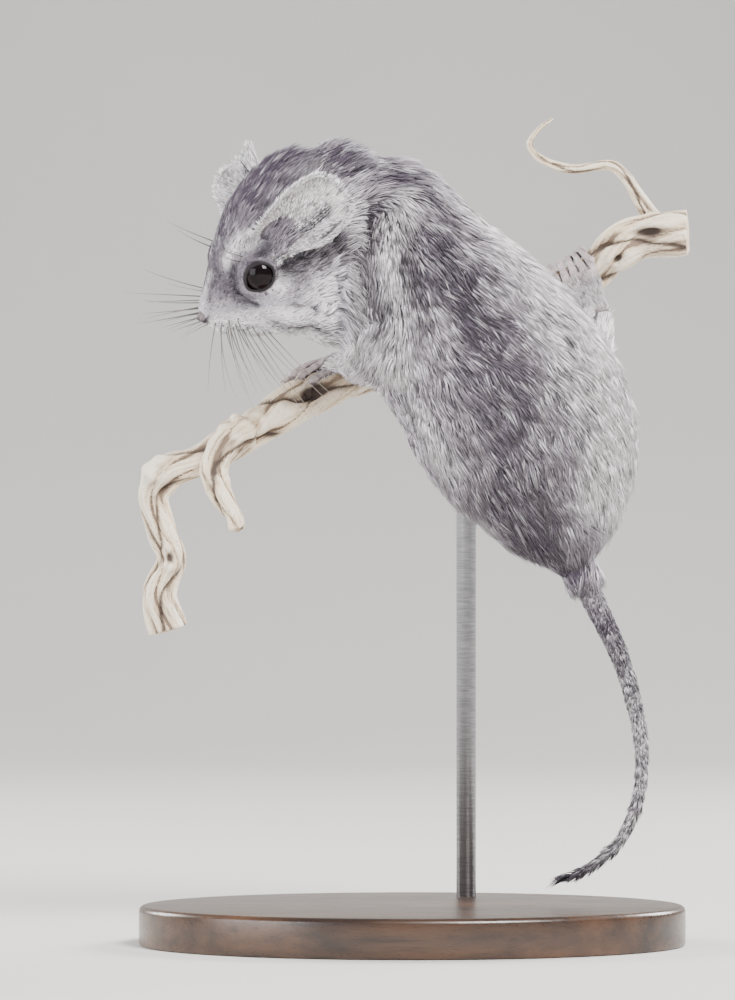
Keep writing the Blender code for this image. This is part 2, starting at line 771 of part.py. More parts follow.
def paw(name, x, digits, pitch, radius, start, end, slide):
    """A foot from the ankle up to the branch, digits that wrap over the wood, and a curved claw on each."""
    along = branch_at(x)[2]
    half = (digits - 1) / 2
    heel = Vector(LIMBS[name][-1][:3])
    heel_radius = LIMBS[name][-1][3]
    knuckles = on_branch(x, start, radius + 0.25)
    past = on_branch(x - 0.12 * slide, start + 14, radius)
    wide = half * pitch * along.x + radius
    sections = [
        (heel.lerp(knuckles, -0.16), 0.8 * heel_radius, 0.8 * heel_radius, along),
        (heel, heel_radius, heel_radius, along),
        (heel.lerp(knuckles, 0.45), 0.5 * (heel_radius + wide) + 0.15, 1.45 * radius, along),
        (heel.lerp(knuckles, 0.85), 0.96 * wide, 1.35 * radius, along),
        (knuckles, 0.98 * wide, 1.2 * radius, along),
        (past, 0.86 * wide, 0.8 * radius, along),
    ]
    pieces = [flat_tube(name, sections)]
    lies_along = slide > 2
    for k in range(digits):
        away = k - half
        reach = end - (26 * away if lies_along else 8 * abs(away))
        root = x + away * pitch * along.x * (0.4 if lies_along else 0.96)
        path, claw = [], []
        for step in range(5):
            share = step / 4
            degrees = start + (reach - start) * share - (20 * away * (1 - share) if lies_along else 0)
            spread = 0.1 * away * share
            bow = 0.2 * math.sin(math.pi * share)
            place = on_branch(root + spread - slide * share, degrees, radius + bow)
            path.append((*place, radius * (1 - 0.16 * share)))
        for share in (0.0, 0.4, 0.75, 1.0):
            degrees = reach + (0 if lies_along else 26 * share - 5)
            ahead = root + 0.1 * away - slide - (1.1 * share if lies_along else 0)
            bow = 0.35 * math.sin(math.pi * share)
            claw.append((*on_branch(ahead, degrees, radius + bow - 0.3 * share), 0.38 - 0.25 * share))
        pieces.append(tube("digit", path, 7, 1, False, True))
        pieces.append(tube("claw", claw, 5, 1, False, False))
    return thinned(fused(name, pieces), 0.62)


def tail_nodes(torso):
    """The tail in three lengths, parted by the gap."""
    run = between(TAIL, 3)
    share = len(run) // len(TAIL_LENGTHS)
    made = {}
    for i, name in enumerate(TAIL_LENGTHS):
        first = i * share
        last = len(run) if i == len(TAIL_LENGTHS) - 1 else first + share + 1
        stations = [list(s) for s in run[first:last]]
        if i:
            ahead = (Vector(stations[1][:3]) - Vector(stations[0][:3])).normalized() * GAP
            stations[0][:3] = Vector(stations[0][:3]) + ahead
        made[name] = tube(name, stations, 10, 1, i == 0, i == len(TAIL_LENGTHS) - 1)
    stand_clear(made["tail_root"], torso)
    return made


def stand_nodes(branch):
    """An oval base with an eased top edge, and one rod up to the branch."""
    bm = bmesh.new()
    place = Matrix.Translation(mm(0, 0, BASE_HEIGHT / 2))
    depth = BASE_HEIGHT * MM
    bmesh.ops.create_cone(bm, cap_ends=True, segments=44, radius1=1, radius2=1, depth=depth, matrix=place)
    bmesh.ops.scale(bm, vec=(BASE_LENGTH * MM / 2, BASE_WIDTH * MM / 2, 1), verts=bm.verts)
    mesh = bpy.data.meshes.new("stand_base")
    bm.to_mesh(mesh)
    bm.free()
    base = new_object("stand_base", mesh)
    ease = base.modifiers.new("Edge", "BEVEL")
    ease.width = 0.9 * MM
    ease.segments = 1
    ease.limit_method = "ANGLE"
    apply_modifiers(base)
    middle, wood, _ = branch_at(ROD_X)
    foot = BASE_HEIGHT / 2
    socket = rod_of("socket", middle, foot, BASE_HEIGHT + 1, ROD_RADIUS + GAP)
    boolean(base, [socket], "DIFFERENCE")
    rod = rod_of("stand_rod", middle, foot + GAP, middle.z, ROD_RADIUS)
    stand_clear(rod, branch)
    return {"stand_base": keep_largest(base), "stand_rod": rod}


def rod_of(name, middle, low, high, radius):
    ends = ((middle.x, middle.y, low, radius), (middle.x, middle.y, high, radius))
    return tube(name, ends, 20, 2, False, False)


COAT_GREY = (0.36, 0.35, 0.38)
PAW_PINK = (0.66, 0.55, 0.53)
COLOURS = {
    "eye": ((0.012, 0.010, 0.012), 0.08, 0.0),
    "ear": ((0.50, 0.44, 0.46), 0.75, 0.0),
    "forepaw": (PAW_PINK, 0.6, 0.0),
    "hindpaw": (PAW_PINK, 0.6, 0.0),
    "perch": ((0.50, 0.42, 0.33), 0.85, 0.0),
    "stand_base": ((0.16, 0.09, 0.05), 0.4, 0.0),
    "stand_rod": ((0.55, 0.55, 0.56), 0.3, 1.0),
}


def paint(nodes):
    """Gives each node a material of its own in the colour of its kind."""
    for name, obj in nodes.items():
        colour, roughness, metallic = COAT_GREY, 0.85, 0.0
        for start, look in COLOURS.items():
            if name.startswith(start):
                colour, roughness, metallic = look
        material = bpy.data.materials.new(name + "_finish")
        material.use_nodes = True
        shader = material.node_tree.nodes["Principled BSDF"]
        shader.inputs["Base Color"].default_value = (*colour, 1)
        shader.inputs["Roughness"].default_value = roughness
        shader.inputs["Metallic"].default_value = metallic
        obj.data.materials.clear()
        obj.data.materials.append(material)
        obj.data.shade_smooth()
        obj.data.set_sharp_from_angle(angle=math.radians(45))


def main():
    for obj in list(bpy.data.objects):
        bpy.data.objects.remove(obj)
    flesh = blended_flesh()
    nodes = limb_nodes(flesh)
    nodes.update(trunk_nodes(flesh))
    finish_head(nodes["head"])
    nodes.update(eye_nodes())
    for name, shape in EARS.items():
        nodes[name] = stand_clear(ear_shell(name, **shape), nodes["head"], nodes["neck"])
    nodes.update(tail_nodes(nodes["torso"]))
    nodes.update(branch_nodes())
    for name, values in PAWS.items():
        sizes = dict(zip(PAW_SIZES, values))
        flesh_near = [nodes[n] for n in (name.replace("paw", "leg"), "torso", "neck")]
        nodes[name] = paw(name, **sizes)
        stand_clear(nodes[name], *flesh_near, nodes["perch_branch"])
    nodes.update(stand_nodes(nodes["perch_branch"]))
    paint(nodes)


main()
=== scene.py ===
import math

import bmesh
import bpy
import numpy as np
from mathutils import Matrix, Vector, kdtree
from mathutils.bvhtree import BVHTree


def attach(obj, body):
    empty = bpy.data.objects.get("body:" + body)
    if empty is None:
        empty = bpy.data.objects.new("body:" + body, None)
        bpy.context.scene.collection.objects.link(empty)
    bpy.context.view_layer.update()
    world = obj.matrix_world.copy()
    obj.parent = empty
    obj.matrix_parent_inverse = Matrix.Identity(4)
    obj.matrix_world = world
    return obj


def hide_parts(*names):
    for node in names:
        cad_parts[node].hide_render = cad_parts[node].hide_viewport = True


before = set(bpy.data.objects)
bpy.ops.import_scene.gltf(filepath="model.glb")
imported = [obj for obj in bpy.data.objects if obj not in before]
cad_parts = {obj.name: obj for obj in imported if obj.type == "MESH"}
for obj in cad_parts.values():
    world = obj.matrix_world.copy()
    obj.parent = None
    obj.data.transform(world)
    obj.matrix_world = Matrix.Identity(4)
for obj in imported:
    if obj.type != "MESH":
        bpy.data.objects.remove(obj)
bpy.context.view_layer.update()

# Lengths below are in millimetres, in the frame's own axes, until a mesh is made.
MM = 0.001
random = np.random.default_rng(7)
UP = Vector((0, 0, 1))
TOWARDS_VIEWER = Vector((0, -1, 0))

# The picture's frame: one pixel of its 735 x 1000 is this wide where the animal is.
PIXEL = 0.15
PICTURE_HEIGHT = 1000
SENSOR_HEIGHT = 24.0
VIEW_MIDDLE = (-6.7, 0.0, 66.75)
VIEW_DISTANCE = 800.0

# Half the angle that the lids leave open, in radians.
LID_OPENING = 0.80

# The same driving sizes as the part's source.
EYE_RADIUS = 2.75
EYE_AT = (10.2, 6.45, 1.2)
EYE_FACES = (0.34, 0.90, 0.26)
HEAD_PITCH = math.radians(45)
HEAD_YAW = math.radians(7)
HEAD_ROLL = math.radians(27)
NOSE_TIP = (-31.6, -5.0, 93.9)
BASE_LENGTH = 82.0
BASE_WIDTH = 54.0
BASE_HEIGHT = 6.0
ROD_RADIUS = 1.5
ROD_X = 8.5
GAP = 0.3

SPINE = (
    (-9.5, -1.2, 106.6),
    (0.4, -1.4, 98.6),
    (9.0, -1.8, 90.4),
    (15.7, -2.4, 80.9),
    (20.2, -2.6, 71.6),
    (23.2, -2.5, 62.6),
    (24.7, -2.3, 57.4),
)
TAIL = (
    (24.8, -2.2, 57.2, 2.3),
    (26.4, -2.4, 53.2, 2.3),
    (28.4, -3.2, 49.0, 2.05),
    (30.9, -4.4, 43.4, 1.75),
    (33.0, -5.4, 36.6, 1.5),
    (34.1, -5.4, 30.0, 1.28),
    (33.9, -4.4, 23.4, 1.1),
    (31.9, -2.8, 17.2, 0.92),
    (28.0, -1.0, 12.6, 0.78),
    (23.8, 0.6, 10.4, 0.58),
    (20.2, 1.8, 9.7, 0.28),
)
FORELEG_LEFT = (
    (1.5, -6.5, 101.0, 6.6),
    (-2.6, -8.0, 94.0, 5.2),
    (-5.6, -6.0, 88.6, 3.7),
    (-8.0, -0.6, 86.6, 2.5),
    (-9.8, 4.6, 87.3, 1.75),
)
FORELEG_RIGHT = (
    (3.0, 3.0, 98.0, 6.0),
    (4.4, 8.6, 93.4, 4.0),
    (2.6, 11.6, 88.6, 2.5),
    (-0.8, 12.6, 87.6, 1.6),
)
HINDLEG_LEFT = (
    (14.0, 0.0, 73.0, 9.0),
    (8.4, 5.6, 75.2, 6.6),
    (6.6, 9.6, 79.6, 4.4),
    (9.6, 12.4, 85.0, 2.6),
    (12.2, 13.6, 88.6, 1.7),
)
HINDLEG_RIGHT = (
    (22.5, 0.5, 75.0, 9.0),
    (25.2, 4.2, 81.0, 6.8),
    (26.9, 6.6, 87.0, 4.8),
    (28.0, 7.8, 92.6, 2.9),
    (27.7, 8.6, 96.4, 1.9),
)
LIMBS = {
    "forepaw_left": FORELEG_LEFT,
    "forepaw_right": FORELEG_RIGHT,
    "hindpaw_left": HINDLEG_LEFT,
    "hindpaw_right": HINDLEG_RIGHT,
}
PAW_SIZES = ("x", "digits", "pitch", "radius", "start", "end", "slide")
PAWS = {
    "forepaw_left": (-11.6, 4, 1.5, 0.74, 66, 66, 4.4),
    "forepaw_right": (-2.6, 4, 1.45, 0.56, 30, 128, 0.5),
    "hindpaw_left": (12.4, 5, 1.6, 0.62, 18, 122, 0),
    "hindpaw_right": (26.0, 5, 1.65, 0.64, 22, 124, 0.6),
}
BRANCH = (
    (42.0, 12.0, 107.4, 3.2),
    (37.6, 12.6, 107.2, 3.1),
    (33.8, 13.4, 106.4, 3.0),
    (30.2, 14.2, 104.2, 2.9),
    (26.2, 15.2, 100.7, 2.4),
    (15.0, 17.4, 95.8, 2.6),
    (4.0, 17.8, 91.0, 2.5),
    (-5.0, 15.2, 86.6, 2.3),
    (-11.6, 12.0, 84.3, 2.7),
    (-16.8, 10.2, 81.6, 3.0),
    (-22.6, 8.8, 78.2, 2.6),
    (-27.0, 8.2, 75.4, 2.5),
    (-31.6, 8.2, 72.9, 2.3),
    (-36.6, 8.6, 71.2, 2.4),
    (-39.4, 9.2, 67.6, 2.2),
    (-38.2, 9.8, 62.4, 2.0),
    (-36.6, 10.2, 57.6, 2.0),
    (-38.4, 10.4, 52.4, 2.4),
    (-37.0, 10.6, 47.0, 3.0),
)
HOOK_TWIG = (
    (-25.2, 6.0, 77.2, 2.4),
    (-28.2, 4.8, 75.0, 2.3),
    (-29.9, 4.0, 71.6, 1.95),
    (-28.9, 3.4, 67.8, 1.65),
    (-26.9, 2.8, 64.6, 1.35),
    (-26.3, 2.5, 62.4, 1.2),
)
FINE_TWIG = (
    (37.6, 12.6, 108.4, 1.5),
    (35.0, 12.9, 112.2, 1.05),
    (32.8, 13.2, 115.8, 0.85),
    (30.0, 13.4, 117.8, 0.75),
    (24.6, 13.6, 117.2, 0.65),
    (20.0, 13.2, 118.6, 0.6),
    (18.0, 12.6, 121.0, 0.5),
    (19.6, 12.2, 123.4, 0.4),
    (21.6, 12.0, 124.8, 0.3),
)
EARS = {
    "ear_left": {"root": (-18.9, -11.0, 104.9), "tip": (-10.6, -16.8, 111.9), "faces": (-0.50, -0.84, -0.14)},
    "ear_right": {"root": (-22.8, 3.6, 110.8), "tip": (-26.2, 7.2, 118.6), "faces": (-0.62, -0.74, -0.26)},
}
EAR_SUNK = 2.2
EAR_HALF_WIDTH = 5.3
# The middle of the dark stripe down the back, on the surface.
DORSAL_LINE = (
    (-27.5, -6.0, 106.0),
    (-24.0, -6.5, 112.5),
    (-17.5, -7.0, 117.5),
    (-9.0, -8.5, 118.0),
    (-3.0, -11.5, 113.5),
    (1.5, -14.0, 105.5),
    (6.0, -15.4, 98.0),
    (10.4, -16.0, 89.0),
    (12.4, -16.2, 80.0),
    (13.2, -15.4, 71.0),
    (15.5, -12.0, 63.5),
    (21.0, -7.0, 58.5),
)
# Stripes of the face, given as on_head takes them, for both sides: what each is, how strong, how wide,
# how high.
FACE_LINES = (
    ("dark", 1.00, 0.70, -0.10, ((7.6, 5.9, 0.6), (6.8, 5.8, -0.2), (5.9, 5.5, -1.0), (6.6, 6.1, -2.0))),
    ("dark", 0.95, 1.10, -0.12, ((7.6, 4.4, 3.8), (6.0, 4.5, 2.3), (5.4, 4.9, 0.6), (5.6, 5.4, -0.6))),
    ("dark", 1.00, 2.15, -0.20,
     ((12.4, 7.8, 4.2), (13.2, 8.9, 1.6), (15.4, 9.6, -0.6), (18.3, 9.8, -2.6), (21.0, 11.5, -2.6))),
    ("dark", 0.90, 0.70, -0.18, ((13.0, 7.8, 4.4), (14.0, 6.3, 7.1), (16.3, 5.4, 8.8))),
    # Painted shadow along the upper edge of the ear.
    ("dark", 0.60, 1.10, -0.10, ((18.9, 4.6, 9.8), (22.5, 5.9, 9.1), (26.2, 6.3, 7.6))),
    ("dark", 0.55, 0.80, -0.05, ((5.4, 1.6, 4.0), (3.8, 1.5, 3.1), (2.3, 1.5, 2.0))),
    ("dark", 0.95, 0.50, -0.20, ((9.6, 9.0, -4.2), (11.0, 9.6, -6.4), (11.7, 9.7, -7.8))),
    ("dark", 1.00, 0.60, -0.35, ((7.2, 7.4, -5.0), (9.0, 8.2, -7.2), (9.8, 8.8, -9.0), (10.5, 9.4, -12.0))),
    ("pale", 1.00, 1.50, 0.06, ((0.9, 2.2, -1.6), (3.6, 4.5, -3.0), (6.0, 6.4, -4.3), (8.6, 8.3, -5.0))),
    ("pale", 0.95, 1.10, 0.12,
     ((8.6, 8.8, -4.6), (10.4, 9.0, -7.4), (11.4, 9.4, -10.4), (11.0, 10.4, -14.0))),
    ("pale", 0.95, 1.35, 0.05, ((7.8, 3.4, 4.6), (9.3, 3.8, 5.9), (10.7, 5.0, 5.9), (12.0, 6.2, 5.6))),
    ("pale", 0.60, 0.70, 0.00, ((0.6, 0.5, 1.0), (2.4, 0.3, 2.6), (4.4, 0.2, 4.0))),
    ("dark", 0.50, 1.00, 0.00,
     ((19.5, 13.0, -4.4), (17.5, 13.6, -7.0), (15.6, 13.4, -9.5), (14.0, 13.0, -11.5))),
)
# Folds and creases of the loose skin at neck, shoulder and thigh, in the frame's axes. The pale stripes on
# the raised crests are painted highlight, and the dark stripes in the pressed creases are painted shade.
FOLD_LINES_WITH_PAINTED_LIGHT = (
    ("pale", 1.00, 1.85, 0.50,
     ((-10.0, -13.4, 105.5), (-9.8, -13.6, 101.0), (-9.4, -12.4, 96.0),
      (-9.2, -10.4, 92.0), (-10.0, -7.5, 89.0))),
    ("pale", 1.00, 1.95, 0.70,
     ((-2.0, -12.6, 112.5), (-3.0, -14.0, 106.0), (-3.4, -14.2, 98.0),
      (-3.1, -13.3, 91.8), (-2.6, -11.2, 86.0))),
    ("pale", 0.95, 1.00, 0.35, ((-6.4, -12.4, 92.0), (-5.5, -11.2, 89.0), (-5.1, -10.0, 86.7))),
    ("pale", 0.90, 2.10, 0.20,
     ((-0.4, -7.4, 82.4), (0.3, -9.4, 79.8), (1.2, -10.4, 76.8), (2.6, -10.6, 73.8))),
    ("dark", 1.00, 1.60, -0.75,
     ((-7.6, -12.6, 110.5), (-7.4, -13.6, 104.0), (-6.6, -13.9, 100.0),
      (-6.0, -13.6, 97.0), (-5.7, -12.8, 94.4))),
    ("dark", 0.70, 0.55, -0.35,
     ((-5.2, -13.4, 103.0), (-4.6, -13.8, 98.0), (-4.3, -13.2, 92.0), (-4.0, -11.6, 87.4))),
    ("dark", 0.75, 0.70, -0.35, ((-1.4, -8.4, 84.2), (-0.9, -8.6, 82.0), (-0.5, -9.0, 80.0))),
    ("dark", 0.60, 1.40, -0.35, ((0.6, -14.2, 108.0), (0.4, -15.0, 101.0), (0.7, -15.2, 96.5))),
    ("dark", 0.45, 2.60, -0.15, ((3.0, -13.6, 106.0), (4.8, -14.3, 100.6), (6.2, -14.8, 96.0))),
)


# Lines and places


def between(stations, steps):
    """A smooth run through the stations, every number of a station alike, with `steps` to each span."""
    s = np.array(stations, float)
    last = len(s) - 1
    t = np.linspace(0, 1, steps, endpoint=False)[:, None]
    made = []
    for i in range(last):
        a, b, c, d = (s[max(0, min(last, i + k))] for k in (-1, 0, 1, 2))
        made.append(
            (-0.5 * t + t**2 - 0.5 * t**3) * a
            + (1 - 2.5 * t**2 + 1.5 * t**3) * b
            + (0.5 * t + 2 * t**2 - 1.5 * t**3) * c
            + (-0.5 * t**2 + 0.5 * t**3) * d
        )
    made.append(s[-1:])
    return np.concatenate(made)


def head_axes():
    """Forward, up and left of the head, as it is carried."""
    flat = Vector((-math.cos(HEAD_PITCH), 0, -math.sin(HEAD_PITCH)))
    forward = (flat * math.cos(HEAD_YAW) + TOWARDS_VIEWER * math.sin(HEAD_YAW)).normalized()
    level_up = Vector((-math.sin(HEAD_PITCH), 0, math.cos(HEAD_PITCH)))
    level_up = (level_up - forward * level_up.dot(forward)).normalized()
    level_left = level_up.cross(forward)
    up = level_up * math.cos(HEAD_ROLL) + level_left * math.sin(HEAD_ROLL)
    return forward, up, up.cross(forward)


FORWARD, HEAD_UP, HEAD_LEFT = head_axes()
HEAD_TURN = np.array([-FORWARD, HEAD_LEFT, HEAD_UP])


def on_head(back, left, up):
    """A point of the head: behind the nose tip, to the animal's left, and up."""
    return Vector(NOSE_TIP) - FORWARD * back + HEAD_LEFT * left + HEAD_UP * up


def head_place(points):
    """Back, left and up of each point, measured from the nose tip."""
    return (points - np.array(NOSE_TIP)) @ HEAD_TURN.T


def head_direction(forward, left, up):
    return (FORWARD * forward + HEAD_LEFT * left + HEAD_UP * up).normalized()


def eye_place(side):
    """The middle of an eyeball and the way it looks."""
    looks = head_direction(EYE_FACES[0], EYE_FACES[1] * side, EYE_FACES[2])
    return on_head(EYE_AT[0], EYE_AT[1] * side, EYE_AT[2]), looks


BODY_LINE = between(
    [tuple(on_head(b, 0, u)) for b, u in ((0, 0), (5, 0), (11, 0), (18, 0.5), (24, 1.0))] + list(SPINE), 6
)
TAIL_LINE = between(TAIL, 6)
WHOLE_LINE = np.concatenate([BODY_LINE, TAIL_LINE[4:, :3]])
BRANCH_LINE = between(BRANCH, 60)
DORSAL = between(DORSAL_LINE, 8)
LIMB_LINES = [between(limb, 6) for limb in LIMBS.values()]


def reach_along(line):
    """How far each point of a line lies from its start, measured along it."""
    return np.concatenate([[0], np.cumsum(np.linalg.norm(np.diff(line[:, :3], axis=0), axis=1))])


def smooth(low, high, value):
    """0 below `low`, 1 above `high`, and eased between them."""
    t = np.clip((value - low) / (high - low), 0, 1)
    return t * t * (3 - 2 * t)


def nearest(points, line, soft=None):
    """Distance to a line of points and its index there; with `soft`, also its direction and how far along."""
    tangents = unit(np.gradient(line[:, :3], axis=0))
    carried = np.column_stack([tangents, reach_along(line)])
    distance = np.empty(len(points))
    index = np.empty(len(points), int)
    blended = np.empty((len(points), 4))
    for start in range(0, len(points), 20000):
        block = points[start : start + 20000]
        gaps = np.linalg.norm(block[:, None, :] - line[None, :, :3], axis=2)
        distance[start : start + 20000] = gaps.min(1)
        index[start : start + 20000] = gaps.argmin(1)
        if soft:
            weights = np.exp(-(gaps - gaps.min(1)[:, None]) / soft)
            blended[start : start + 20000] = (weights @ carried) / weights.sum(1)[:, None]
    if soft is None:
        return distance, index
    return distance, index, unit(blended[:, :3]), blended[:, 3]


def from_nose(points):
    """How far back each point lies, from the nose along head, body and tail."""
    return nearest(points, WHOLE_LINE, 0.8)[3]


def unit(vectors):
    return vectors / np.maximum(np.linalg.norm(vectors, axis=1), 1e-9)[:, None]


def ripple(points, scale, seed=0):
    """A soft random field from -1 to 1 that changes over about `scale` millimetres."""
    draw = np.random.default_rng(100 + seed)
    total = np.zeros(len(points))
    for octave in range(5):
        turn = draw.normal(size=3)
        turn *= (1.0 + 0.45 * octave) * 2 * math.pi / (scale * 2.2 * np.linalg.norm(turn))
        total += np.sin(points @ turn + draw.uniform(0, 6.3))
    return total / 2.9


# Meshes


def shown(name, mesh):
    """An object of the scene with this mesh, shaded smooth."""
    obj = bpy.data.objects.new(name, mesh)
    bpy.context.scene.collection.objects.link(obj)
    mesh.shade_smooth()
    return obj


def mesh_object(name, vertices, faces):
    """A shown object from points in millimetres and faces of any size."""
    mesh = bpy.data.meshes.new(name)
    mesh.from_pydata((np.asarray(vertices) * MM).tolist(), [], [list(map(int, f)) for f in faces])
    mesh.update()
    return shown(name, mesh)


def triangle_object(name, vertices, triangles):
    """The same for many triangles at once."""
    mesh = bpy.data.meshes.new(name)
    mesh.vertices.add(len(vertices))
    mesh.vertices.foreach_set("co", (vertices * MM).astype(np.float32).ravel())
    mesh.loops.add(3 * len(triangles))
    mesh.loops.foreach_set("vertex_index", triangles.astype(np.int32).ravel())
    mesh.polygons.add(len(triangles))
    mesh.polygons.foreach_set("loop_start", np.arange(0, 3 * len(triangles), 3, dtype=np.int32))
    mesh.update()
    mesh.validate()
    return shown(name, mesh)


def points_of(obj):
    flat = np.empty(3 * len(obj.data.vertices), np.float32)
    obj.data.vertices.foreach_get("co", flat)
    return flat.reshape(-1, 3).astype(float) / MM


def normals_of(obj):
    flat = np.empty(3 * len(obj.data.vertices), np.float32)
    obj.data.vertices.foreach_get("normal", flat)
    return flat.reshape(-1, 3).astype(float)


def set_points(obj, points):
    obj.data.vertices.foreach_set("co", (points * MM).astype(np.float32).ravel())
    obj.data.update()


def triangles_of(obj):
    obj.data.calc_loop_triangles()
    flat = np.empty(3 * len(obj.data.loop_triangles), np.int32)
    obj.data.loop_triangles.foreach_get("vertices", flat)
    return flat.reshape(-1, 3)


def point_tree(points):
    """A tree that finds the nearest of the points."""
    tree = kdtree.KDTree(len(points))
    for i, point in enumerate(points):
        tree.insert(point, i)
    tree.balance()
    return tree


def marked(obj, name):
    """The numbers kept for each point of the mesh."""
    values = np.empty(len(obj.data.vertices), np.float32)
    obj.data.attributes[name].data.foreach_get("value", values)
    return values


def mark(obj, **values):
    """Keeps a number for each point of the mesh, for its material to read."""
    for name, numbers in values.items():
        layer = obj.data.attributes.new(name, "FLOAT", "POINT")
        layer.data.foreach_set("value", np.asarray(numbers, np.float32))


def apply_modifiers(obj):
    bpy.context.view_layer.update()
    graph = bpy.context.evaluated_depsgraph_get()
    made = bpy.data.meshes.new_from_object(obj.evaluated_get(graph))
    old = obj.data
    obj.modifiers.clear()
    obj.data = made
    bpy.data.meshes.remove(old)
    return obj


def remeshed(obj, voxel, rounds):
    """One closed surface from pieces that overlap, eased a few rounds."""
    blend = obj.modifiers.new("Blend", "REMESH")
    blend.mode = "VOXEL"
    blend.voxel_size = voxel * MM
    ease = obj.modifiers.new("Ease", "SMOOTH")
    ease.factor = 0.5
    ease.iterations = rounds
    apply_modifiers(obj)
    obj.data.shade_smooth()
    return obj


def thinned(obj, ratio):
    """The same surface with a share of its faces."""
    thin = obj.modifiers.new("Thin", "DECIMATE")
    thin.ratio = ratio
    return apply_modifiers(obj)


def faced_out(obj):
    """Turns the faces of a closed surface outwards."""
    bm = bmesh.new()
    bm.from_mesh(obj.data)
    bmesh.ops.recalc_face_normals(bm, faces=bm.faces)
    if bm.calc_volume(signed=True) < 0:
        bmesh.ops.reverse_faces(bm, faces=bm.faces)
    bm.to_mesh(obj.data)
    bm.free()
    return obj


def joined(name, pieces, keep=False):
    """One object from several, as separate closed surfaces. The pieces go, unless they are to be kept."""
    vertices, triangles, count = [], [], 0
    for piece in pieces:
        vertices.append(points_of(piece))
        triangles.append(triangles_of(piece) + count)
        count += len(vertices[-1])
        if not keep:
            bpy.data.objects.remove(piece)
    return triangle_object(name, np.concatenate(vertices), np.concatenate(triangles))


def walls(rings, count, closed=False):
    """Faces from each ring of `count` points to the next, and if closed from the last to the first."""
    faces = []
    for i in range(rings if closed else rings - 1):
        shift = ((i + 1) % rings) * count - i * count
        for k in range(count):
            a, b = i * count + k, i * count + (k + 1) % count
            faces.append((a, b, b + shift, a + shift))
    return faces


def ring_tube(name, rings):
    """A closed tube through rings of the same number of points, with flat ends."""
    count = len(rings[0])
    vertices = np.concatenate([np.asarray(ring) for ring in rings])
    faces = walls(len(rings), count)
    faces.append(tuple(range(count))[::-1])
    last = (len(rings) - 1) * count
    faces.append(tuple(range(last, last + count)))
    return faced_out(mesh_object(name, vertices, faces))


def carried_frames(points):
    """A direction along, across and over at each point of a line, turning as little as it can."""
    tangents = unit(np.gradient(points, axis=0))
    side = np.array(Vector(tangents[0]).orthogonal().normalized())
    across = []
    for tangent in tangents:
        side = side - tangent * side.dot(tangent)
        side = side / np.linalg.norm(side)
        across.append(side)
    across = np.array(across)
    return tangents, across, np.cross(tangents, across)


def tube(name, stations, sides, steps):
    """A tube with round ends through stations of x, y, z and radius."""
    run = between(stations, steps)
    points, radii = run[:, :3], run[:, 3]
    tangents, across, over = carried_frames(points)
    angles = np.linspace(0, 2 * math.pi, sides, endpoint=False)
    rings = []

    def ring(i, shift, scale):
        circle = across[i] * np.cos(angles)[:, None] + over[i] * np.sin(angles)[:, None]
        rings.append(points[i] + tangents[i] * shift + circle * (radii[i] * scale))

    dome = np.radians((80, 60, 40, 20))
    for angle in dome:
        ring(0, -radii[0] * math.sin(angle), math.cos(angle))
    for i in range(len(points)):
        ring(i, 0, 1)
    for angle in dome[::-1]:
        ring(len(points) - 1, radii[-1] * math.sin(angle), math.cos(angle))
    return ring_tube(name, rings)


def ball(name, centre, radii, axes, segments=32, rings=20):
    """An ellipsoid, with a radius along each of its axes."""
    bm = bmesh.new()
    bmesh.ops.create_uvsphere(bm, u_segments=segments, v_segments=rings, radius=1)
    turn = Matrix(axes).transposed()
    points = [Vector(centre) + turn @ Vector([part * r for part, r in zip(v.co, radii)]) for v in bm.verts]
    faces = [[v.index for v in f.verts] for f in bm.faces]
    bm.free()
    return mesh_object(name, [tuple(p) for p in points], faces)


# Materials


def material(name):
    made = bpy.data.materials.new(name)
    made.use_nodes = True
    nodes = made.node_tree.nodes
    return made, nodes, made.node_tree.links, nodes["Principled BSDF"]


def read_mark(nodes, name):
    node = nodes.new("ShaderNodeAttribute")
    node.attribute_name = name
    return node.outputs["Fac"]


def new_group(name, inputs, outputs):
    """An effect that several materials share, with named sockets."""
    group = bpy.data.node_groups.new(name, "ShaderNodeTree")
    for label, kind, value in inputs:
        socket = group.interface.new_socket(label, in_out="INPUT", socket_type=kind)
        socket.default_value = value
    for label, kind in outputs:
        group.interface.new_socket(label, in_out="OUTPUT", socket_type=kind)
    start = group.nodes.new("NodeGroupInput")
    end = group.nodes.new("NodeGroupOutput")
    return group, group.nodes, group.links, start.outputs, end.inputs


def place_group(nodes, group, **values):
    node = nodes.new("ShaderNodeGroup")
    node.node_tree = group
    for label, value in values.items():
        node.inputs[label.replace("_", " ")].default_value = value
    return node


def mixed(nodes, links, share, one, two):
    """A colour between two others. Each may be a colour or a socket."""
    node = nodes.new("ShaderNodeMix")
    node.data_type = "RGBA"
    for socket, value in ((node.inputs[0], share), (node.inputs[6], one), (node.inputs[7], two)):
        if isinstance(value, bpy.types.NodeSocket):
            links.new(value, socket)
        else:
            socket.default_value = value
    return node.outputs[2]


def spread(nodes, links, value, low, high, to_low=0.0, to_high=1.0):
    """A value mapped from one range to another and kept inside it."""
    node = nodes.new("ShaderNodeMapRange")
    node.inputs["From Min"].default_value = low
    node.inputs["From Max"].default_value = high
    node.inputs["To Min"].default_value = to_low
    node.inputs["To Max"].default_value = to_high
    links.new(value, node.inputs["Value"])
    return node.outputs["Result"]


def times(nodes, links, one, two, kind="MULTIPLY"):
    node = nodes.new("ShaderNodeMath")
    node.operation = kind
    for socket, value in zip(node.inputs, (one, two)):
        if isinstance(value, bpy.types.NodeSocket):
            links.new(value, socket)
        else:
            socket.default_value = value
    return node.outputs[0]


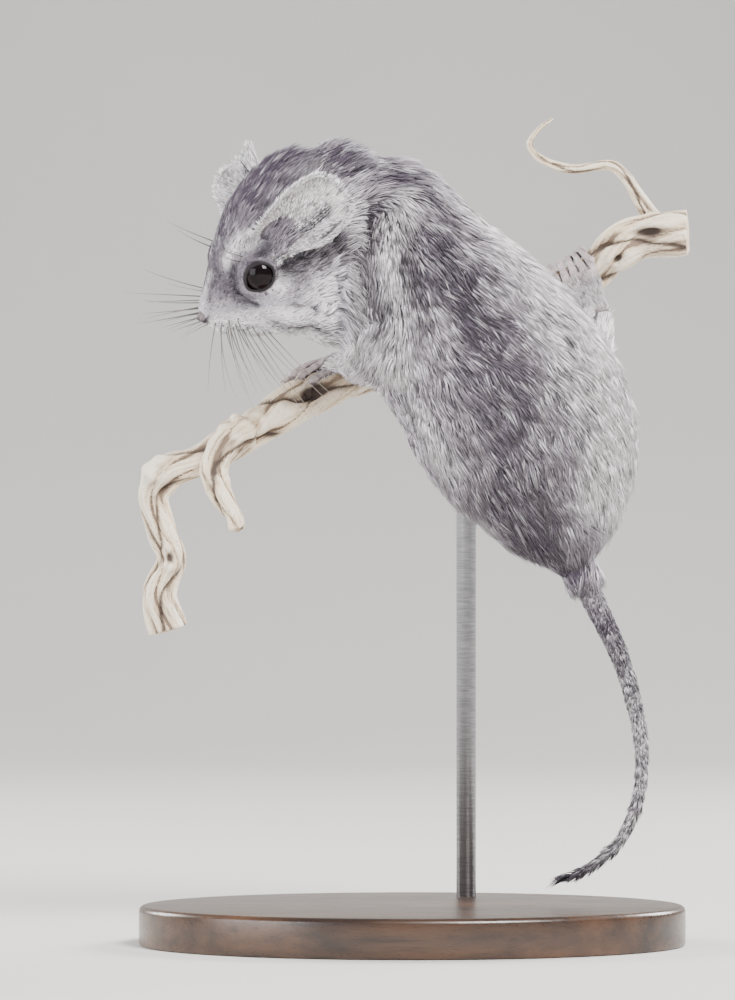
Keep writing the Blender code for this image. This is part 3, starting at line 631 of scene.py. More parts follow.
def noise(nodes, links, scale, detail, roughness=0.55, stretch=None):
    """Soft noise in the object's own space."""
    where = nodes.new("ShaderNodeTexCoord")
    node = nodes.new("ShaderNodeTexNoise")
    node.inputs["Scale"].default_value = scale
    node.inputs["Detail"].default_value = detail
    node.inputs["Roughness"].default_value = roughness
    if stretch is None:
        links.new(where.outputs["Object"], node.inputs["Vector"])
    else:
        turn = nodes.new("ShaderNodeMapping")
        turn.inputs["Scale"].default_value = stretch
        links.new(where.outputs["Object"], turn.inputs["Vector"])
        links.new(turn.outputs["Vector"], node.inputs["Vector"])
    return node.outputs["Fac"]


def fur_markings():
    """The coat's colours: dark back, grey flank, pale underside, dark face patch, and streaks of both."""
    group, nodes, links, given, out = new_group(
        "fur markings",
        (
            ("Dorsal", "NodeSocketFloat", 0.0),
            ("Pale", "NodeSocketFloat", 0.0),
            ("Dark", "NodeSocketFloat", 0.0),
            ("Tone", "NodeSocketFloat", 0.5),
            ("Tip", "NodeSocketFloat", 0.5),
            ("Flank Colour", "NodeSocketColor", (0.490, 0.445, 0.500, 1)),
            ("Back Colour", "NodeSocketColor", (0.064, 0.046, 0.074, 1)),
            ("Pale Colour", "NodeSocketColor", (0.93, 0.905, 0.92, 1)),
            ("Dark Colour", "NodeSocketColor", (0.020, 0.015, 0.025, 1)),
        ),
        (("Color", "NodeSocketColor"),),
    )
    colour = mixed(nodes, links, given["Dorsal"], given["Flank Colour"], given["Back Colour"])
    colour = mixed(nodes, links, given["Pale"], colour, given["Pale Colour"])
    colour = mixed(nodes, links, given["Dark"], colour, given["Dark Colour"])
    shade = spread(nodes, links, given["Tone"], 0.18, 0.46, 0.12, 1.0)
    colour = mixed(nodes, links, shade, given["Dark Colour"], colour)
    white = spread(nodes, links, given["Tone"], 0.64, 0.96, 0.0, 0.75)
    white = times(nodes, links, white, spread(nodes, links, given["Dark"], 0.2, 0.9, 1.0, 0.25))
    white = times(nodes, links, white, spread(nodes, links, given["Dorsal"], 0.3, 0.9, 1.0, 0.6))
    colour = mixed(nodes, links, white, colour, (0.84, 0.81, 0.86, 1))
    root = spread(nodes, links, given["Tip"], 0.0, 0.6, 0.62, 0.0)
    colour = mixed(nodes, links, root, colour, (0.075, 0.07, 0.088, 1))
    links.new(colour, out["Color"])
    return group


def surface_grain():
    """Fine unevenness: a soft tint either side of a colour, and a height for bump."""
    group, nodes, links, given, out = new_group(
        "surface grain",
        (
            ("Color", "NodeSocketColor", (0.5, 0.5, 0.5, 1)),
            ("Second Color", "NodeSocketColor", (0.3, 0.3, 0.3, 1)),
            ("Scale", "NodeSocketFloat", 900.0),
            ("Amount", "NodeSocketFloat", 0.5),
        ),
        (("Color", "NodeSocketColor"), ("Height", "NodeSocketFloat")),
    )
    where = nodes.new("ShaderNodeTexCoord")
    fine = nodes.new("ShaderNodeTexNoise")
    fine.inputs["Detail"].default_value = 4.0
    links.new(where.outputs["Object"], fine.inputs["Vector"])
    links.new(given["Scale"], fine.inputs["Scale"])
    broad = nodes.new("ShaderNodeTexNoise")
    broad.inputs["Detail"].default_value = 2.0
    links.new(where.outputs["Object"], broad.inputs["Vector"])
    links.new(times(nodes, links, given["Scale"], 0.17), broad.inputs["Scale"])
    blend = times(nodes, links, spread(nodes, links, broad.outputs["Fac"], 0.35, 0.65), given["Amount"])
    links.new(mixed(nodes, links, blend, given["Color"], given["Second Color"]), out["Color"])
    links.new(times(nodes, links, fine.outputs["Fac"], broad.outputs["Fac"], "ADD"), out["Height"])
    return group


FUR_MARKINGS = fur_markings()
SURFACE_GRAIN = surface_grain()


def bump(nodes, links, height, shader, distance, strength):
    node = nodes.new("ShaderNodeBump")
    node.inputs["Distance"].default_value = distance
    node.inputs["Strength"].default_value = strength
    links.new(height, node.inputs["Height"])
    links.new(node.outputs["Normal"], shader.inputs["Normal"])


def coat_finish():
    """The hair of the coat, coloured by what each tuft keeps of its root's place."""
    made, nodes, links, shader = material("coat hair")
    group = place_group(nodes, FUR_MARKINGS)
    for label in ("Dorsal", "Pale", "Dark", "Tone", "Tip"):
        links.new(read_mark(nodes, label.lower()), group.inputs[label])
    links.new(group.outputs["Color"], shader.inputs["Base Color"])
    shader.inputs["Roughness"].default_value = 0.62
    shader.inputs["Specular IOR Level"].default_value = 0.28
    shader.inputs["Sheen Weight"].default_value = 0.12
    shader.inputs["Sheen Roughness"].default_value = 0.4
    return made


def skin_finish():
    """Skin under the coat, with the same markings, and bare skin on nose, lids and paws."""
    made, nodes, links, shader = material("skin and short fur")
    group = place_group(nodes, FUR_MARKINGS)
    for label in ("Dorsal", "Pale", "Dark"):
        links.new(read_mark(nodes, label.lower()), group.inputs[label])
    flecks = spread(nodes, links, noise(nodes, links, 1500, 3.0, 0.6), 0.32, 0.68, 0.1, 0.8)
    links.new(flecks, group.inputs["Tone"])
    group.inputs["Tip"].default_value = 0.5
    bare = place_group(
        nodes,
        SURFACE_GRAIN,
        Color=(0.13, 0.10, 0.105, 1),
        Second_Color=(0.04, 0.03, 0.034, 1),
        Scale=1600,
        Amount=0.7,
    )
    share = read_mark(nodes, "bare")
    naked = mixed(nodes, links, read_mark(nodes, "dark"), bare.outputs["Color"], (0.012, 0.010, 0.012, 1))
    links.new(mixed(nodes, links, share, group.outputs["Color"], naked), shader.inputs["Base Color"])
    links.new(spread(nodes, links, share, 0.0, 1.0, 0.75, 0.46), shader.inputs["Roughness"])
    shader.inputs["Specular IOR Level"].default_value = 0.22
    bump(nodes, links, bare.outputs["Height"], shader, 0.00012, 0.6)
    return made


def bare_skin_finish(name, colour, second, scale, roughness):
    """Thin skin of ear or paw, with fine creases."""
    made, nodes, links, shader = material(name)
    group = place_group(nodes, SURFACE_GRAIN, Color=colour, Second_Color=second, Scale=scale, Amount=0.6)
    shade = mixed(nodes, links, read_mark(nodes, "shade"), group.outputs["Color"], second)
    links.new(shade, shader.inputs["Base Color"])
    shader.inputs["Roughness"].default_value = roughness
    shader.inputs["Subsurface Weight"].default_value = 0.10
    shader.inputs["Subsurface Radius"].default_value = (0.0009, 0.0004, 0.0003)
    shader.inputs["Subsurface Scale"].default_value = 0.6
    bump(nodes, links, group.outputs["Height"], shader, 0.0001, 0.7)
    return made


def eye_finish():
    """A wet, nearly black eye, faintly brown where light enters."""
    made, nodes, links, shader = material("wet dark eye")
    glow = mixed(
        nodes,
        links,
        spread(nodes, links, noise(nodes, links, 420, 2.0), 0.3, 0.7),
        (0.003, 0.002, 0.003, 1),
        (0.011, 0.006, 0.006, 1),
    )
    links.new(glow, shader.inputs["Base Color"])
    film = spread(nodes, links, noise(nodes, links, 900, 2.0), 0.3, 0.7, 0.04, 0.08)
    links.new(film, shader.inputs["Roughness"])
    shader.inputs["Specular IOR Level"].default_value = 0.15
    return made


def claw_finish():
    """Horn, darker towards the root."""
    made, nodes, links, shader = material("claw horn")
    tone = spread(nodes, links, noise(nodes, links, 1100, 3.0), 0.3, 0.7)
    colour = mixed(nodes, links, tone, (0.50, 0.42, 0.36, 1), (0.22, 0.17, 0.15, 1))
    links.new(colour, shader.inputs["Base Color"])
    links.new(spread(nodes, links, tone, 0.0, 1.0, 0.28, 0.42), shader.inputs["Roughness"])
    return made


def whisker_finish():
    """Stiff hair that goes from dark at the root to pale at the tip."""
    made, nodes, links, shader = material("whisker hair")
    tone = read_mark(nodes, "tip")
    colour = mixed(nodes, links, tone, (0.05, 0.04, 0.04, 1), (0.26, 0.22, 0.19, 1))
    links.new(colour, shader.inputs["Base Color"])
    links.new(spread(nodes, links, tone, 0.0, 1.0, 0.34, 0.5), shader.inputs["Roughness"])
    return made


def bark_finish():
    """Pale weathered wood with long fibres, greyer in places, with painted shade in its cracks and between
    the fibres and painted highlight on the fibre crests.
    """
    made, nodes, links, shader = material("weathered branch")
    crack = read_mark(nodes, "crack")
    fibre = read_mark(nodes, "fibre")
    patch = spread(nodes, links, noise(nodes, links, 95, 3.0), 0.38, 0.62)
    colour = mixed(nodes, links, patch, (0.78, 0.62, 0.43, 1), (0.56, 0.44, 0.32, 1))
    # Painted shade in the hollows between the fibres.
    hollow = spread(nodes, links, fibre, 0.0, 0.42, 0.0, 0.9)
    colour = mixed(nodes, links, hollow, colour, (0.15, 0.10, 0.072, 1))
    # Painted highlight on the crests of the fibres.
    crest_highlight = spread(nodes, links, fibre, 0.0, -0.6, 0.0, 0.75)
    colour = mixed(nodes, links, crest_highlight, colour, (0.92, 0.84, 0.70, 1))
    speck = spread(nodes, links, noise(nodes, links, 1700, 4.0, 0.7), 0.56, 0.70, 0.0, 0.55)
    colour = mixed(nodes, links, speck, colour, (0.16, 0.11, 0.08, 1))
    # Painted shade in the cracks and the knot's hollow.
    colour = mixed(nodes, links, crack, colour, (0.060, 0.042, 0.034, 1))
    links.new(colour, shader.inputs["Base Color"])
    links.new(spread(nodes, links, fibre, -0.8, 0.9, 0.72, 0.9), shader.inputs["Roughness"])
    fine = noise(nodes, links, 1400, 5.0, 0.65)
    height = times(nodes, links, fine, times(nodes, links, fibre, -0.6), "ADD")
    bump(nodes, links, height, shader, 0.00016, 0.8)
    return made


def cut_wood_finish():
    """Sawn ends with rings round the pith."""
    made, nodes, links, shader = material("sawn branch end")
    ring = times(nodes, links, times(nodes, links, read_mark(nodes, "ring"), 34.0), 0.0, "SINE")
    tone = spread(nodes, links, ring, -1.0, 1.0)
    colour = mixed(nodes, links, tone, (0.74, 0.60, 0.42, 1), (0.52, 0.38, 0.24, 1))
    links.new(colour, shader.inputs["Base Color"])
    links.new(spread(nodes, links, tone, 0.0, 1.0, 0.6, 0.8), shader.inputs["Roughness"])
    bump(nodes, links, noise(nodes, links, 2400, 3.0), shader, 0.00006, 0.6)
    return made


def base_finish():
    """Dark stained hardwood with a satin varnish. The grain runs along the base."""
    made, nodes, links, shader = material("stained base wood")
    long_grain = noise(nodes, links, 260, 5.0, 0.6, (0.06, 1.0, 1.0))
    pores = noise(nodes, links, 1900, 3.0, 0.7, (0.05, 1.0, 1.0))
    colour = mixed(
        nodes,
        links,
        spread(nodes, links, long_grain, 0.34, 0.66),
        (0.085, 0.040, 0.020, 1),
        (0.022, 0.011, 0.007, 1),
    )
    open_pores = spread(nodes, links, pores, 0.58, 0.72, 0.0, 0.8)
    colour = mixed(nodes, links, open_pores, colour, (0.010, 0.006, 0.004, 1))
    links.new(colour, shader.inputs["Base Color"])
    links.new(spread(nodes, links, pores, 0.3, 0.7, 0.24, 0.40), shader.inputs["Roughness"])
    shader.inputs["Coat Weight"].default_value = 0.35
    shader.inputs["Coat Roughness"].default_value = 0.22
    bump(nodes, links, pores, shader, 0.00004, 0.5)
    return made


def rod_finish():
    """Turned steel, brushed round the rod."""
    made, nodes, links, shader = material("brushed steel rod")
    lines = noise(nodes, links, 2600, 3.0, 0.7, (0.15, 0.15, 2.0))
    tone = spread(nodes, links, lines, 0.3, 0.7)
    colour = mixed(nodes, links, tone, (0.30, 0.30, 0.31, 1), (0.17, 0.17, 0.18, 1))
    links.new(colour, shader.inputs["Base Color"])
    shader.inputs["Metallic"].default_value = 1.0
    links.new(spread(nodes, links, lines, 0.3, 0.7, 0.38, 0.52), shader.inputs["Roughness"])
    bump(nodes, links, lines, shader, 0.00002, 0.4)
    return made


def finish_piece(obj, made, slot, *nodes):
    """Gives a piece its material and its body, and hides the nodes it stands for; the slot is not used."""
    obj.data.materials.clear()
    obj.data.materials.append(made)
    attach(obj, "root")
    if nodes:
        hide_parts(*nodes)
    return obj


# Where things are on the animal


def limb_share(points):
    """How much each point belongs to a limb, and the direction down that limb."""
    best = np.zeros(len(points))
    ahead = np.zeros((len(points), 3))
    outwards = np.zeros(len(points))
    for line in LIMB_LINES:
        distance, index, along, _ = nearest(points, line, 1.0)
        share = 1 - smooth(0.9, 1.35, distance / (line[index, 3] + 0.4))
        end = index / (len(line) - 1)
        share = share * smooth(0.12, 0.5, end)
        stronger = share > best
        best[stronger] = share[stronger]
        ahead[stronger] = along[stronger]
        outwards[stronger] = end[stronger]
    return best, ahead, outwards


def eye_distance(points):
    """Distance from the nearer eyeball's surface."""
    gaps = [np.linalg.norm(points - np.array(eye_place(side)[0]), axis=1) for side in (1, -1)]
    return np.minimum(*gaps) - EYE_RADIUS


def rim_distance(points):
    """Distance from the edge of the lids, along the eyeball."""
    gaps = []
    for side in (1, -1):
        centre, looks = eye_place(side)
        away = points - np.array(centre)
        angle = np.arccos(np.clip(unit(away) @ np.array(looks), -1, 1))
        close = np.linalg.norm(away, axis=1) < 2 * EYE_RADIUS
        gaps.append(np.where(close, EYE_RADIUS * (angle - LID_OPENING), 9.0))
    return np.minimum(*gaps)


def tail_share(points, starts, whole):
    """How much each point belongs to the tail, and how far down the tail it is."""
    distance, index = nearest(points, TAIL_LINE)
    share = 1 - smooth(1.0, 1.9, distance / (TAIL_LINE[index, 3] + 0.35))
    return share * smooth(starts, whole, index.astype(float)), index / (len(TAIL_LINE) - 1)


def coat_depth(points):
    """How far the skin lies inside the solids, which reach the tips of the coat."""
    back = from_nose(points)
    depth = np.interp(back, (0, 3, 7, 12, 18, 26, 34), (0.12, 0.22, 0.38, 0.70, 1.25, 1.75, 1.85))
    _, spot = nearest(points, WHOLE_LINE)
    outer = smooth(0.1, 0.9, unit(points - WHOLE_LINE[spot]) @ np.array((0.85, -0.1, 0.5)))
    depth = depth * (1 + 0.42 * outer)
    limb, _, end = limb_share(points)
    depth = depth * (1 - limb * smooth(0.35, 1.0, end) * 0.8)
    tail, along = tail_share(points, -1.0, 0.0)
    tail_depth = 0.36 * np.interp(along, (0, 1), (2.3, 0.5))
    depth = depth * (1 - tail) + tail_depth * tail
    return depth * smooth(-0.2, 2.2, eye_distance(points)) + 0.02


LAID_LINES = []


def lay_lines(skin):
    """Puts the stripes and folds onto the skin itself, so that their width is measured along it."""
    tree = tree_of(skin)
    LAID_LINES.clear()
    for kind, strength, width, height, line in FACE_LINES:
        for side in (1, -1):
            laid = snapped_line(tree, [on_head(back, left * side, up) for back, left, up in line], 5)
            LAID_LINES.append((kind, strength, width, height, laid))
    for kind, strength, width, height, line in FOLD_LINES_WITH_PAINTED_LIGHT:
        LAID_LINES.append((kind, strength, width, height, snapped_line(tree, line, 5)))


def line_share(points, line, width):
    return np.exp(-((nearest(points, line)[0] / width) ** 2))


# Width and strength of the dark band of the back, by the share of its length.
BAND_WIDTH = ((0, 0.15, 0.3, 0.42, 0.6, 0.75, 0.9, 1.0), (2.2, 5.5, 6.0, 6.0, 6.5, 8.5, 8.5, 6.0))
BAND_STRENGTH = ((0, 0.45, 0.60, 0.80, 0.95), (1.0, 1.0, 0.9, 0.82, 1.0))
# How dark the tail is above, by the share of its length.
TAIL_BAND = ((0, 0.12, 0.35, 0.6, 0.88, 1), (1.0, 1.0, 0.85, 0.60, 0.85, 1.0))


def markings(points):
    """How dark the back is, how pale the underside, and the dark patches of the face, at each point; the pale
    and dark also hold painted light and shade.
    """
    _, left, up = head_place(points).T
    back = from_nose(points)
    head = 1 - smooth(20, 28, back)
    uneven = 1.8 * ripple(points, 5.0, 1) + 1.3 * ripple(points, 2.0, 2)
    distance, index = nearest(points, DORSAL)
    along = index / (len(DORSAL) - 1)
    edge = (distance + uneven) / np.interp(along, *BAND_WIDTH)
    dorsal = np.interp(along, *BAND_STRENGTH) * (1 - smooth(0.35, 1.50, edge))
    dorsal *= smooth(3.0, 10.0, back)
    above = up / np.maximum(np.hypot(left, up), 1e-6)
    crown = smooth(-0.25, 0.50, above + 0.06 * uneven) * smooth(1.0, 4.5, back)
    dorsal = np.maximum(dorsal, 0.80 * head * crown)
    # The pale underside faces away from the viewer on the trunk, and down on the head.
    _, spot = nearest(points, WHOLE_LINE)
    radial = unit(points - WHOLE_LINE[spot])
    # On the right flank the pale reaches up from the underside: partly the pale belly fur at that edge,
    # partly painted light on the side the light falls on.
    flank = 0.90 * smooth(7.0, 14.5, distance + uneven) * smooth(-0.5, 0.4, radial[:, 0])
    trunk_pale = np.maximum(smooth(-0.15, 0.50, radial[:, 1] + 0.05 * uneven), flank)
    below = -up / np.maximum(np.hypot(left, up), 1e-6)
    head_pale = smooth(0.25, 0.80, below + 0.06 * uneven) * smooth(0.4, 2.2, np.hypot(left, up))
    pale = trunk_pale * (1 - head) + head_pale * head
    eye, rim = eye_distance(points), rim_distance(points)
    behind = smooth(8.5, 10.5, back) * (1 - smooth(0.5, 3.5, up))
    ring = np.exp(-(((rim - 1.10) / 0.80) ** 2)) * behind * (eye < 1.8)
    pale = np.maximum(pale, ring)
    lower = smooth(0.6, -0.6, up - EYE_AT[2]) * smooth(8.0, 9.5, back)
    dark = 0.98 * (1 - smooth(0.26, 0.56, rim)) * (1 - 0.45 * lower * smooth(0.10, 0.30, rim))
    broken = 0.80 + 0.35 * ripple(points, 1.4, 3)
    # The laid lines add the face's stripes, the painted shadow above each ear, and the painted highlight on
    # the folds' crests and shade in their creases.
    for kind, strength, width, _, line in LAID_LINES:
        share = strength * broken * line_share(points, line, width)
        if kind == "pale":
            pale = np.maximum(pale, share)
        else:
            dark = np.maximum(dark, share)
    dark = np.clip(dark, 0, 1)
    pale = pale * (1 - dark)
    dorsal = dorsal * (1 - 0.85 * pale)
    tail, length = tail_share(points, 0.0, 13.0)
    banding = 0.5 + 0.5 * ripple(points, 1.1, 4)
    tail_dark = np.interp(length, *TAIL_BAND)
    flecks = smooth(0.25, 0.70, ripple(points, 0.55, 14))
    dorsal = dorsal * (1 - tail) + tail * tail_dark * (0.70 + 0.30 * banding)
    between_ends = smooth(0.20, 0.40, length) * (1 - smooth(0.70, 0.88, length))
    pale = pale * (1 - tail) + tail * 0.75 * (1 - banding) * between_ends
    tip_dark = np.maximum(0.55 * (1 - smooth(0.04, 0.16, length)), 0.9 * smooth(0.72, 0.95, length))
    dark = dark * (1 - tail) + tail * np.maximum(tip_dark, 0.75 * flecks)
    dorsal = dorsal * (1 - 0.9 * ring)
    return np.clip(dorsal, 0, 1), np.clip(pale, 0, 1), np.clip(dark, 0, 1)


# The skin


FLESH = (
    "head",
    "neck",
    "torso",
    "foreleg_left",
    "foreleg_right",
    "hindleg_left",
    "hindleg_right",
    "tail_root",
    "tail_middle",
    "tail_tip",
)


def lid_ring(name, centre, axis, radius, thick, squash):
    """An eyelid: a soft almond ring with its corners before and behind the eye, thicker above."""
    segments, sides = 56, 14
    across = HEAD_UP.cross(axis).normalized()
    if across.dot(FORWARD) < 0:
        across = -across
    over = (HEAD_UP - axis * HEAD_UP.dot(axis)).normalized()
    vertices = []
    for i in range(segments):
        angle = 2 * math.pi * i / segments
        out = across * math.cos(angle) + over * squash * math.sin(angle)
        corner = 0.16 * max(0.0, math.cos(angle + 0.25)) ** 10 + 0.06 * max(0.0, -math.cos(angle)) ** 8
        place = centre + out * radius * (1 + corner)
        out = out.normalized()
        size = thick * (1.0 + 0.22 * math.sin(angle))
        for k in range(sides):
            turn = 2 * math.pi * k / sides
            vertices.append(tuple(place + out * size * math.cos(turn) + axis * size * math.sin(turn)))
    return faced_out(mesh_object(name, vertices, walls(segments, sides, closed=True)))


def face_features():
    """Lids and the bare pad of the nose, joined to the skin when it is blended."""
    made = []
    axes = (HEAD_LEFT, FORWARD, HEAD_UP)
    for side in (1, -1):
        centre, looks = eye_place(side)
        for ring in range(4):
            angle = math.radians(49 + 11 * ring)
            middle = centre + looks * (1.05 * math.cos(angle) * EYE_RADIUS)
            squash = (0.86, 0.92, 0.97, 1.0)[ring]
            radius = 1.05 * math.sin(angle) * EYE_RADIUS
            made.append(lid_ring("lids", middle, looks, radius, 0.27 + 0.05 * ring, squash))
        made.append(ball("nose_wing", on_head(0.25, 0.72 * side, -0.35), (0.80, 0.85, 0.72), axes))
        made.append(ball("lip", on_head(2.5, 1.5 * side, -3.0), (1.5, 2.2, 1.15), axes))
    return made


def press(points, normals, line, reach, depth):
    """Pushes the surface in along a line, deepest on the line itself."""
    distance, _ = nearest(points, line)
    return points - normals * (depth * np.exp(-((distance / reach) ** 2)))[:, None]


def swell(points, normals, centre, reach, height):
    distance = np.linalg.norm(points - np.array(centre), axis=1)
    return points + normals * (height * np.exp(-((distance / reach) ** 2)))[:, None]


def tree_of(obj):
    bm = bmesh.new()
    bm.from_mesh(obj.data)
    tree = BVHTree.FromBMesh(bm)
    bm.free()
    return tree


def snapped_line(tree, places, steps=10):
    """A smooth line over a surface, through the points of it nearest to the places."""
    return between([tuple(tree.find_nearest(Vector(place) * MM)[0] / MM) for place in places], steps)


def build_skin():
    """One skin for all the flesh: solids blended, drawn in by the coat's depth, then given its features."""
    skin = joined("skin", [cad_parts[name] for name in FLESH], keep=True)
    loosen = skin.modifiers.new("Swell", "DISPLACE")
    loosen.mid_level = 0
    loosen.strength = 0.22 * MM
    remeshed(skin, 0.42, 10)
    points, normals = points_of(skin), normals_of(skin)
    points = points - normals * (0.16 + coat_depth(points))[:, None]
    # Cheeks and throat are fuller than the rest.
    pads = (((10.4, 6.5, -6.8), 4.6, 2.3), ((10.4, -6.5, -6.8), 4.6, 2.3), ((12.0, 0, -7.0), 4.5, 2.2))
    for place, reach, height in pads:
        points = swell(points, normals, on_head(*place), reach, height)
    set_points(skin, points)
    lay_lines(skin)
    normals = normals_of(skin)
    for _, _, width, height, line in LAID_LINES:
        points = points + normals * (height * line_share(points, line, width))[:, None]
    set_points(skin, points)
    skin = joined("skin", [skin, *face_features()])
    remeshed(skin, 0.27, 3)
    lay_lines(skin)
    tree = tree_of(skin)
    half = ((10.6, 6.0, -6.2), (8.6, 5.4, -5.6), (6.2, 4.6, -4.8), (4.2, 3.6, -4.4), (2.6, 2.0, -4.2))
    whole = (*half, (1.9, 0, -4.1), *((back, -left, up) for back, left, up in half[::-1]))
    mouth = snapped_line(tree, [on_head(*place) for place in whole])
    below_nose = ((-0.5, 0, -0.6), (-0.1, 0, -1.6), (0.8, 0, -2.8), (1.8, 0, -4.0))
    split = snapped_line(tree, [on_head(*place) for place in below_nose])
    points, normals = points_of(skin), normals_of(skin)
    points = press(points, normals, mouth, 0.30, 0.50)
    points = press(points, normals, split, 0.24, 0.34)
    nostrils = []
    for side in (1, -1):
        slit = ((-0.3, 0.75, -0.5), (0.2, 1.25, -0.3), (0.9, 1.55, -0.15))
        nostril = snapped_line(tree, [on_head(back, left * side, up) for back, left, up in slit], 8)
        nostrils.append(nostril)
        points = press(points, normals, nostril, 0.26, 0.55)
    set_points(skin, points)
    thinned(skin, 0.62)
    skin.data.shade_smooth()
    points = points_of(skin)
    dorsal, pale, dark = markings(points)
    # Painted shade along the mouth line, the split under the nose and inside the nostrils, where they are
    # pressed in.
    furrows = ((mouth, 0.34, 0.9), (split, 0.26, 0.6), (nostrils[0], 0.42, 1), (nostrils[1], 0.42, 1))
    for line, reach, share in furrows:
        dark = np.maximum(dark, share * (1 - smooth(0.4 * reach, 1.3 * reach, nearest(points, line)[0])))
    nose = 1 - smooth(1.15, 1.75, np.linalg.norm(points - np.array(on_head(0.0, 0, -0.4)), axis=1))
    lids = 1 - smooth(0.28, 0.46, rim_distance(points))
    bare = np.maximum(nose * (1 - 0.5 * dark), lids)
    mark(skin, dorsal=dorsal, pale=pale, dark=dark, bare=bare)
    return skin, mouth


# Ears, eyes, paws and whiskers


def ear_grid(root, tip, faces, rows, columns, inset=0.0):
    """The leaf of an ear as a grid of points, with the fold inside it. `inset` is towards the hollow."""
    root, tip, faces = np.array(root), np.array(tip), np.array(faces)
    along = tip - root
    length = np.linalg.norm(along) + EAR_SUNK
    along = along / np.linalg.norm(along)
    faces = faces - along * faces.dot(along)
    faces = faces / np.linalg.norm(faces)
    across = np.cross(along, faces)
    share = np.linspace(0, 1, rows)[:, None]
    v = np.linspace(-1, 1, columns)[None, :]
    reach = length * np.sin(0.5 * math.pi * share) ** 0.9 - EAR_SUNK
    full = EAR_HALF_WIDTH * (0.68 + 0.32 * np.sin(math.pi * np.minimum(0.5, 1.1 * share)))
    width = full * np.sqrt(np.maximum(0.004, 1 - np.maximum(0.0, (share - 0.42) / 0.581) ** 2.2))
    width = width * (1 - 0.42 * (1 - smooth(0.02, 0.40, share)) * smooth(-0.2, 0.5, v * np.ones_like(share)))
    cup = (3.6 - 2.7 * share) * (width / full)
    curl = np.sin(0.5 * math.pi * v)
    edge = 0.35 * smooth(0.7, 1.0, np.abs(v) * np.ones_like(share)) * (1 - share)
    fold = 0.50 * np.exp(-(((v - 0.36) / 0.14) ** 2)) * np.sin(math.pi * np.clip(1.15 * share, 0, 1))
    slit = 0.55 * np.exp(-(((v - 0.10) / 0.13) ** 2))
    slit = slit * smooth(0.05, 0.2, share) * (1 - smooth(0.45, 0.68, share))
    depth = cup * v * v - 0.9 + 0.8 * np.sin(math.pi * share) + edge + (fold - slit) * (inset > 0) + inset
    thin = 0.93 - 0.08 * (inset > 0)
    return (
        root
        + along * (reach * (1 - 0.02 * (inset > 0)))[:, :, None]
        + across * (width * thin * curl)[:, :, None]
        + faces * depth[:, :, None]
    )


def build_ear(name, shape):
    """An ear with an inner and an outer face and a rounded rim."""
    rows, columns = 44, 37
    outer = ear_grid(rows=rows, columns=columns, **shape)
    inner = ear_grid(rows=rows, columns=columns, inset=0.42, **shape)
    vertices = np.concatenate([outer.reshape(-1, 3), inner.reshape(-1, 3)])
    count = rows * columns
    faces = []
    for i in range(rows - 1):
        for j in range(columns - 1):
            a = i * columns + j
            faces.append((a, a + 1, a + columns + 1, a + columns))
            faces.append((count + a, count + a + columns, count + a + columns + 1, count + a + 1))
    border = list(range(columns))
    border += [i * columns + columns - 1 for i in range(1, rows)]
    border += [(rows - 1) * columns + j for j in range(columns - 2, -1, -1)]
    border += [i * columns for i in range(rows - 2, 0, -1)]
    for a, b in zip(border, border[1:] + border[:1]):
        faces.append((a, count + a, count + b, b))
    ear = faced_out(mesh_object(name, vertices, faces))
    share = np.repeat(np.linspace(0, 1, rows), columns)
    v = np.tile(np.linspace(-1, 1, columns), rows)
    slit = np.exp(-(((v - 0.10) / 0.15) ** 2)) * smooth(0.03, 0.15, share) * (1 - smooth(0.50, 0.66, share))
    second = np.exp(-(((v - 0.58) / 0.12) ** 2)) * smooth(0.22, 0.36, share) * (1 - smooth(0.56, 0.74, share))
    deep = 0.5 * (1 - smooth(0.0, 0.26, share)) * smooth(-0.8, 0.2, v)
    inner_shade = np.clip(np.maximum.reduce([slit, 0.85 * second, deep]), 0, 1)
    mark(ear, shade=np.concatenate([0.35 * np.ones(count), inner_shade]))
    return ear


def ear_shade(ear, points):
    """The shade of the ear's skin at the points nearest to the given ones."""
    tree = point_tree([vertex.co for vertex in ear.data.vertices])
    return marked(ear, "shade")[[tree.find(Vector(point) * MM)[1] for point in points]]


def build_eye(name, side):
    centre, looks = eye_place(side)
    across = looks.orthogonal().normalized()
    radius = EYE_RADIUS - 0.02
    return ball(name, centre, (radius, radius, radius), (across, looks.cross(across), looks), 64, 40)


def branch_at(x):
    """The branch's middle line, radius and direction where it crosses the given x, right of its bend."""
    i = int(np.argmin(np.abs(BRANCH_LINE[:, 0] - x) + 1000 * (BRANCH_LINE[:, 2] < 70)))
    along = Vector(BRANCH_LINE[i - 1][:3] - BRANCH_LINE[i + 1][:3]).normalized()
    return Vector(BRANCH_LINE[i][:3]), BRANCH_LINE[i][3], along


def on_branch(x, degrees, lift):
    """A point `lift` clear of the wood: 0 degrees faces the viewer, 90 is on top, and 180 is behind."""
    middle, wood, along = branch_at(x)
    top = (UP - along * UP.dot(along)).normalized()
    front = (TOWARDS_VIEWER - along * TOWARDS_VIEWER.dot(along)).normalized()
    angle = math.radians(degrees)
    return middle + (front * math.cos(angle) + top * math.sin(angle)) * (1.13 * wood + 0.16 + lift)


def flat_tube(name, sections):
    """A flattened tube through sections: middle, half width, half thickness, and the way the width runs."""
    sides = 28
    rings = []
    for i, (middle, half_width, half_thickness, across) in enumerate(sections):
        before, after = sections[max(i - 1, 0)][0], sections[min(i + 1, len(sections) - 1)][0]
        out = (after - before).normalized().cross(across).normalized()
        angles = [2 * math.pi * k / sides for k in range(sides)]
        rings.append(
            [
                tuple(middle + across * half_width * math.cos(a) + out * half_thickness * math.sin(a))
                for a in angles
            ]
        )
    return ring_tube(name, rings)


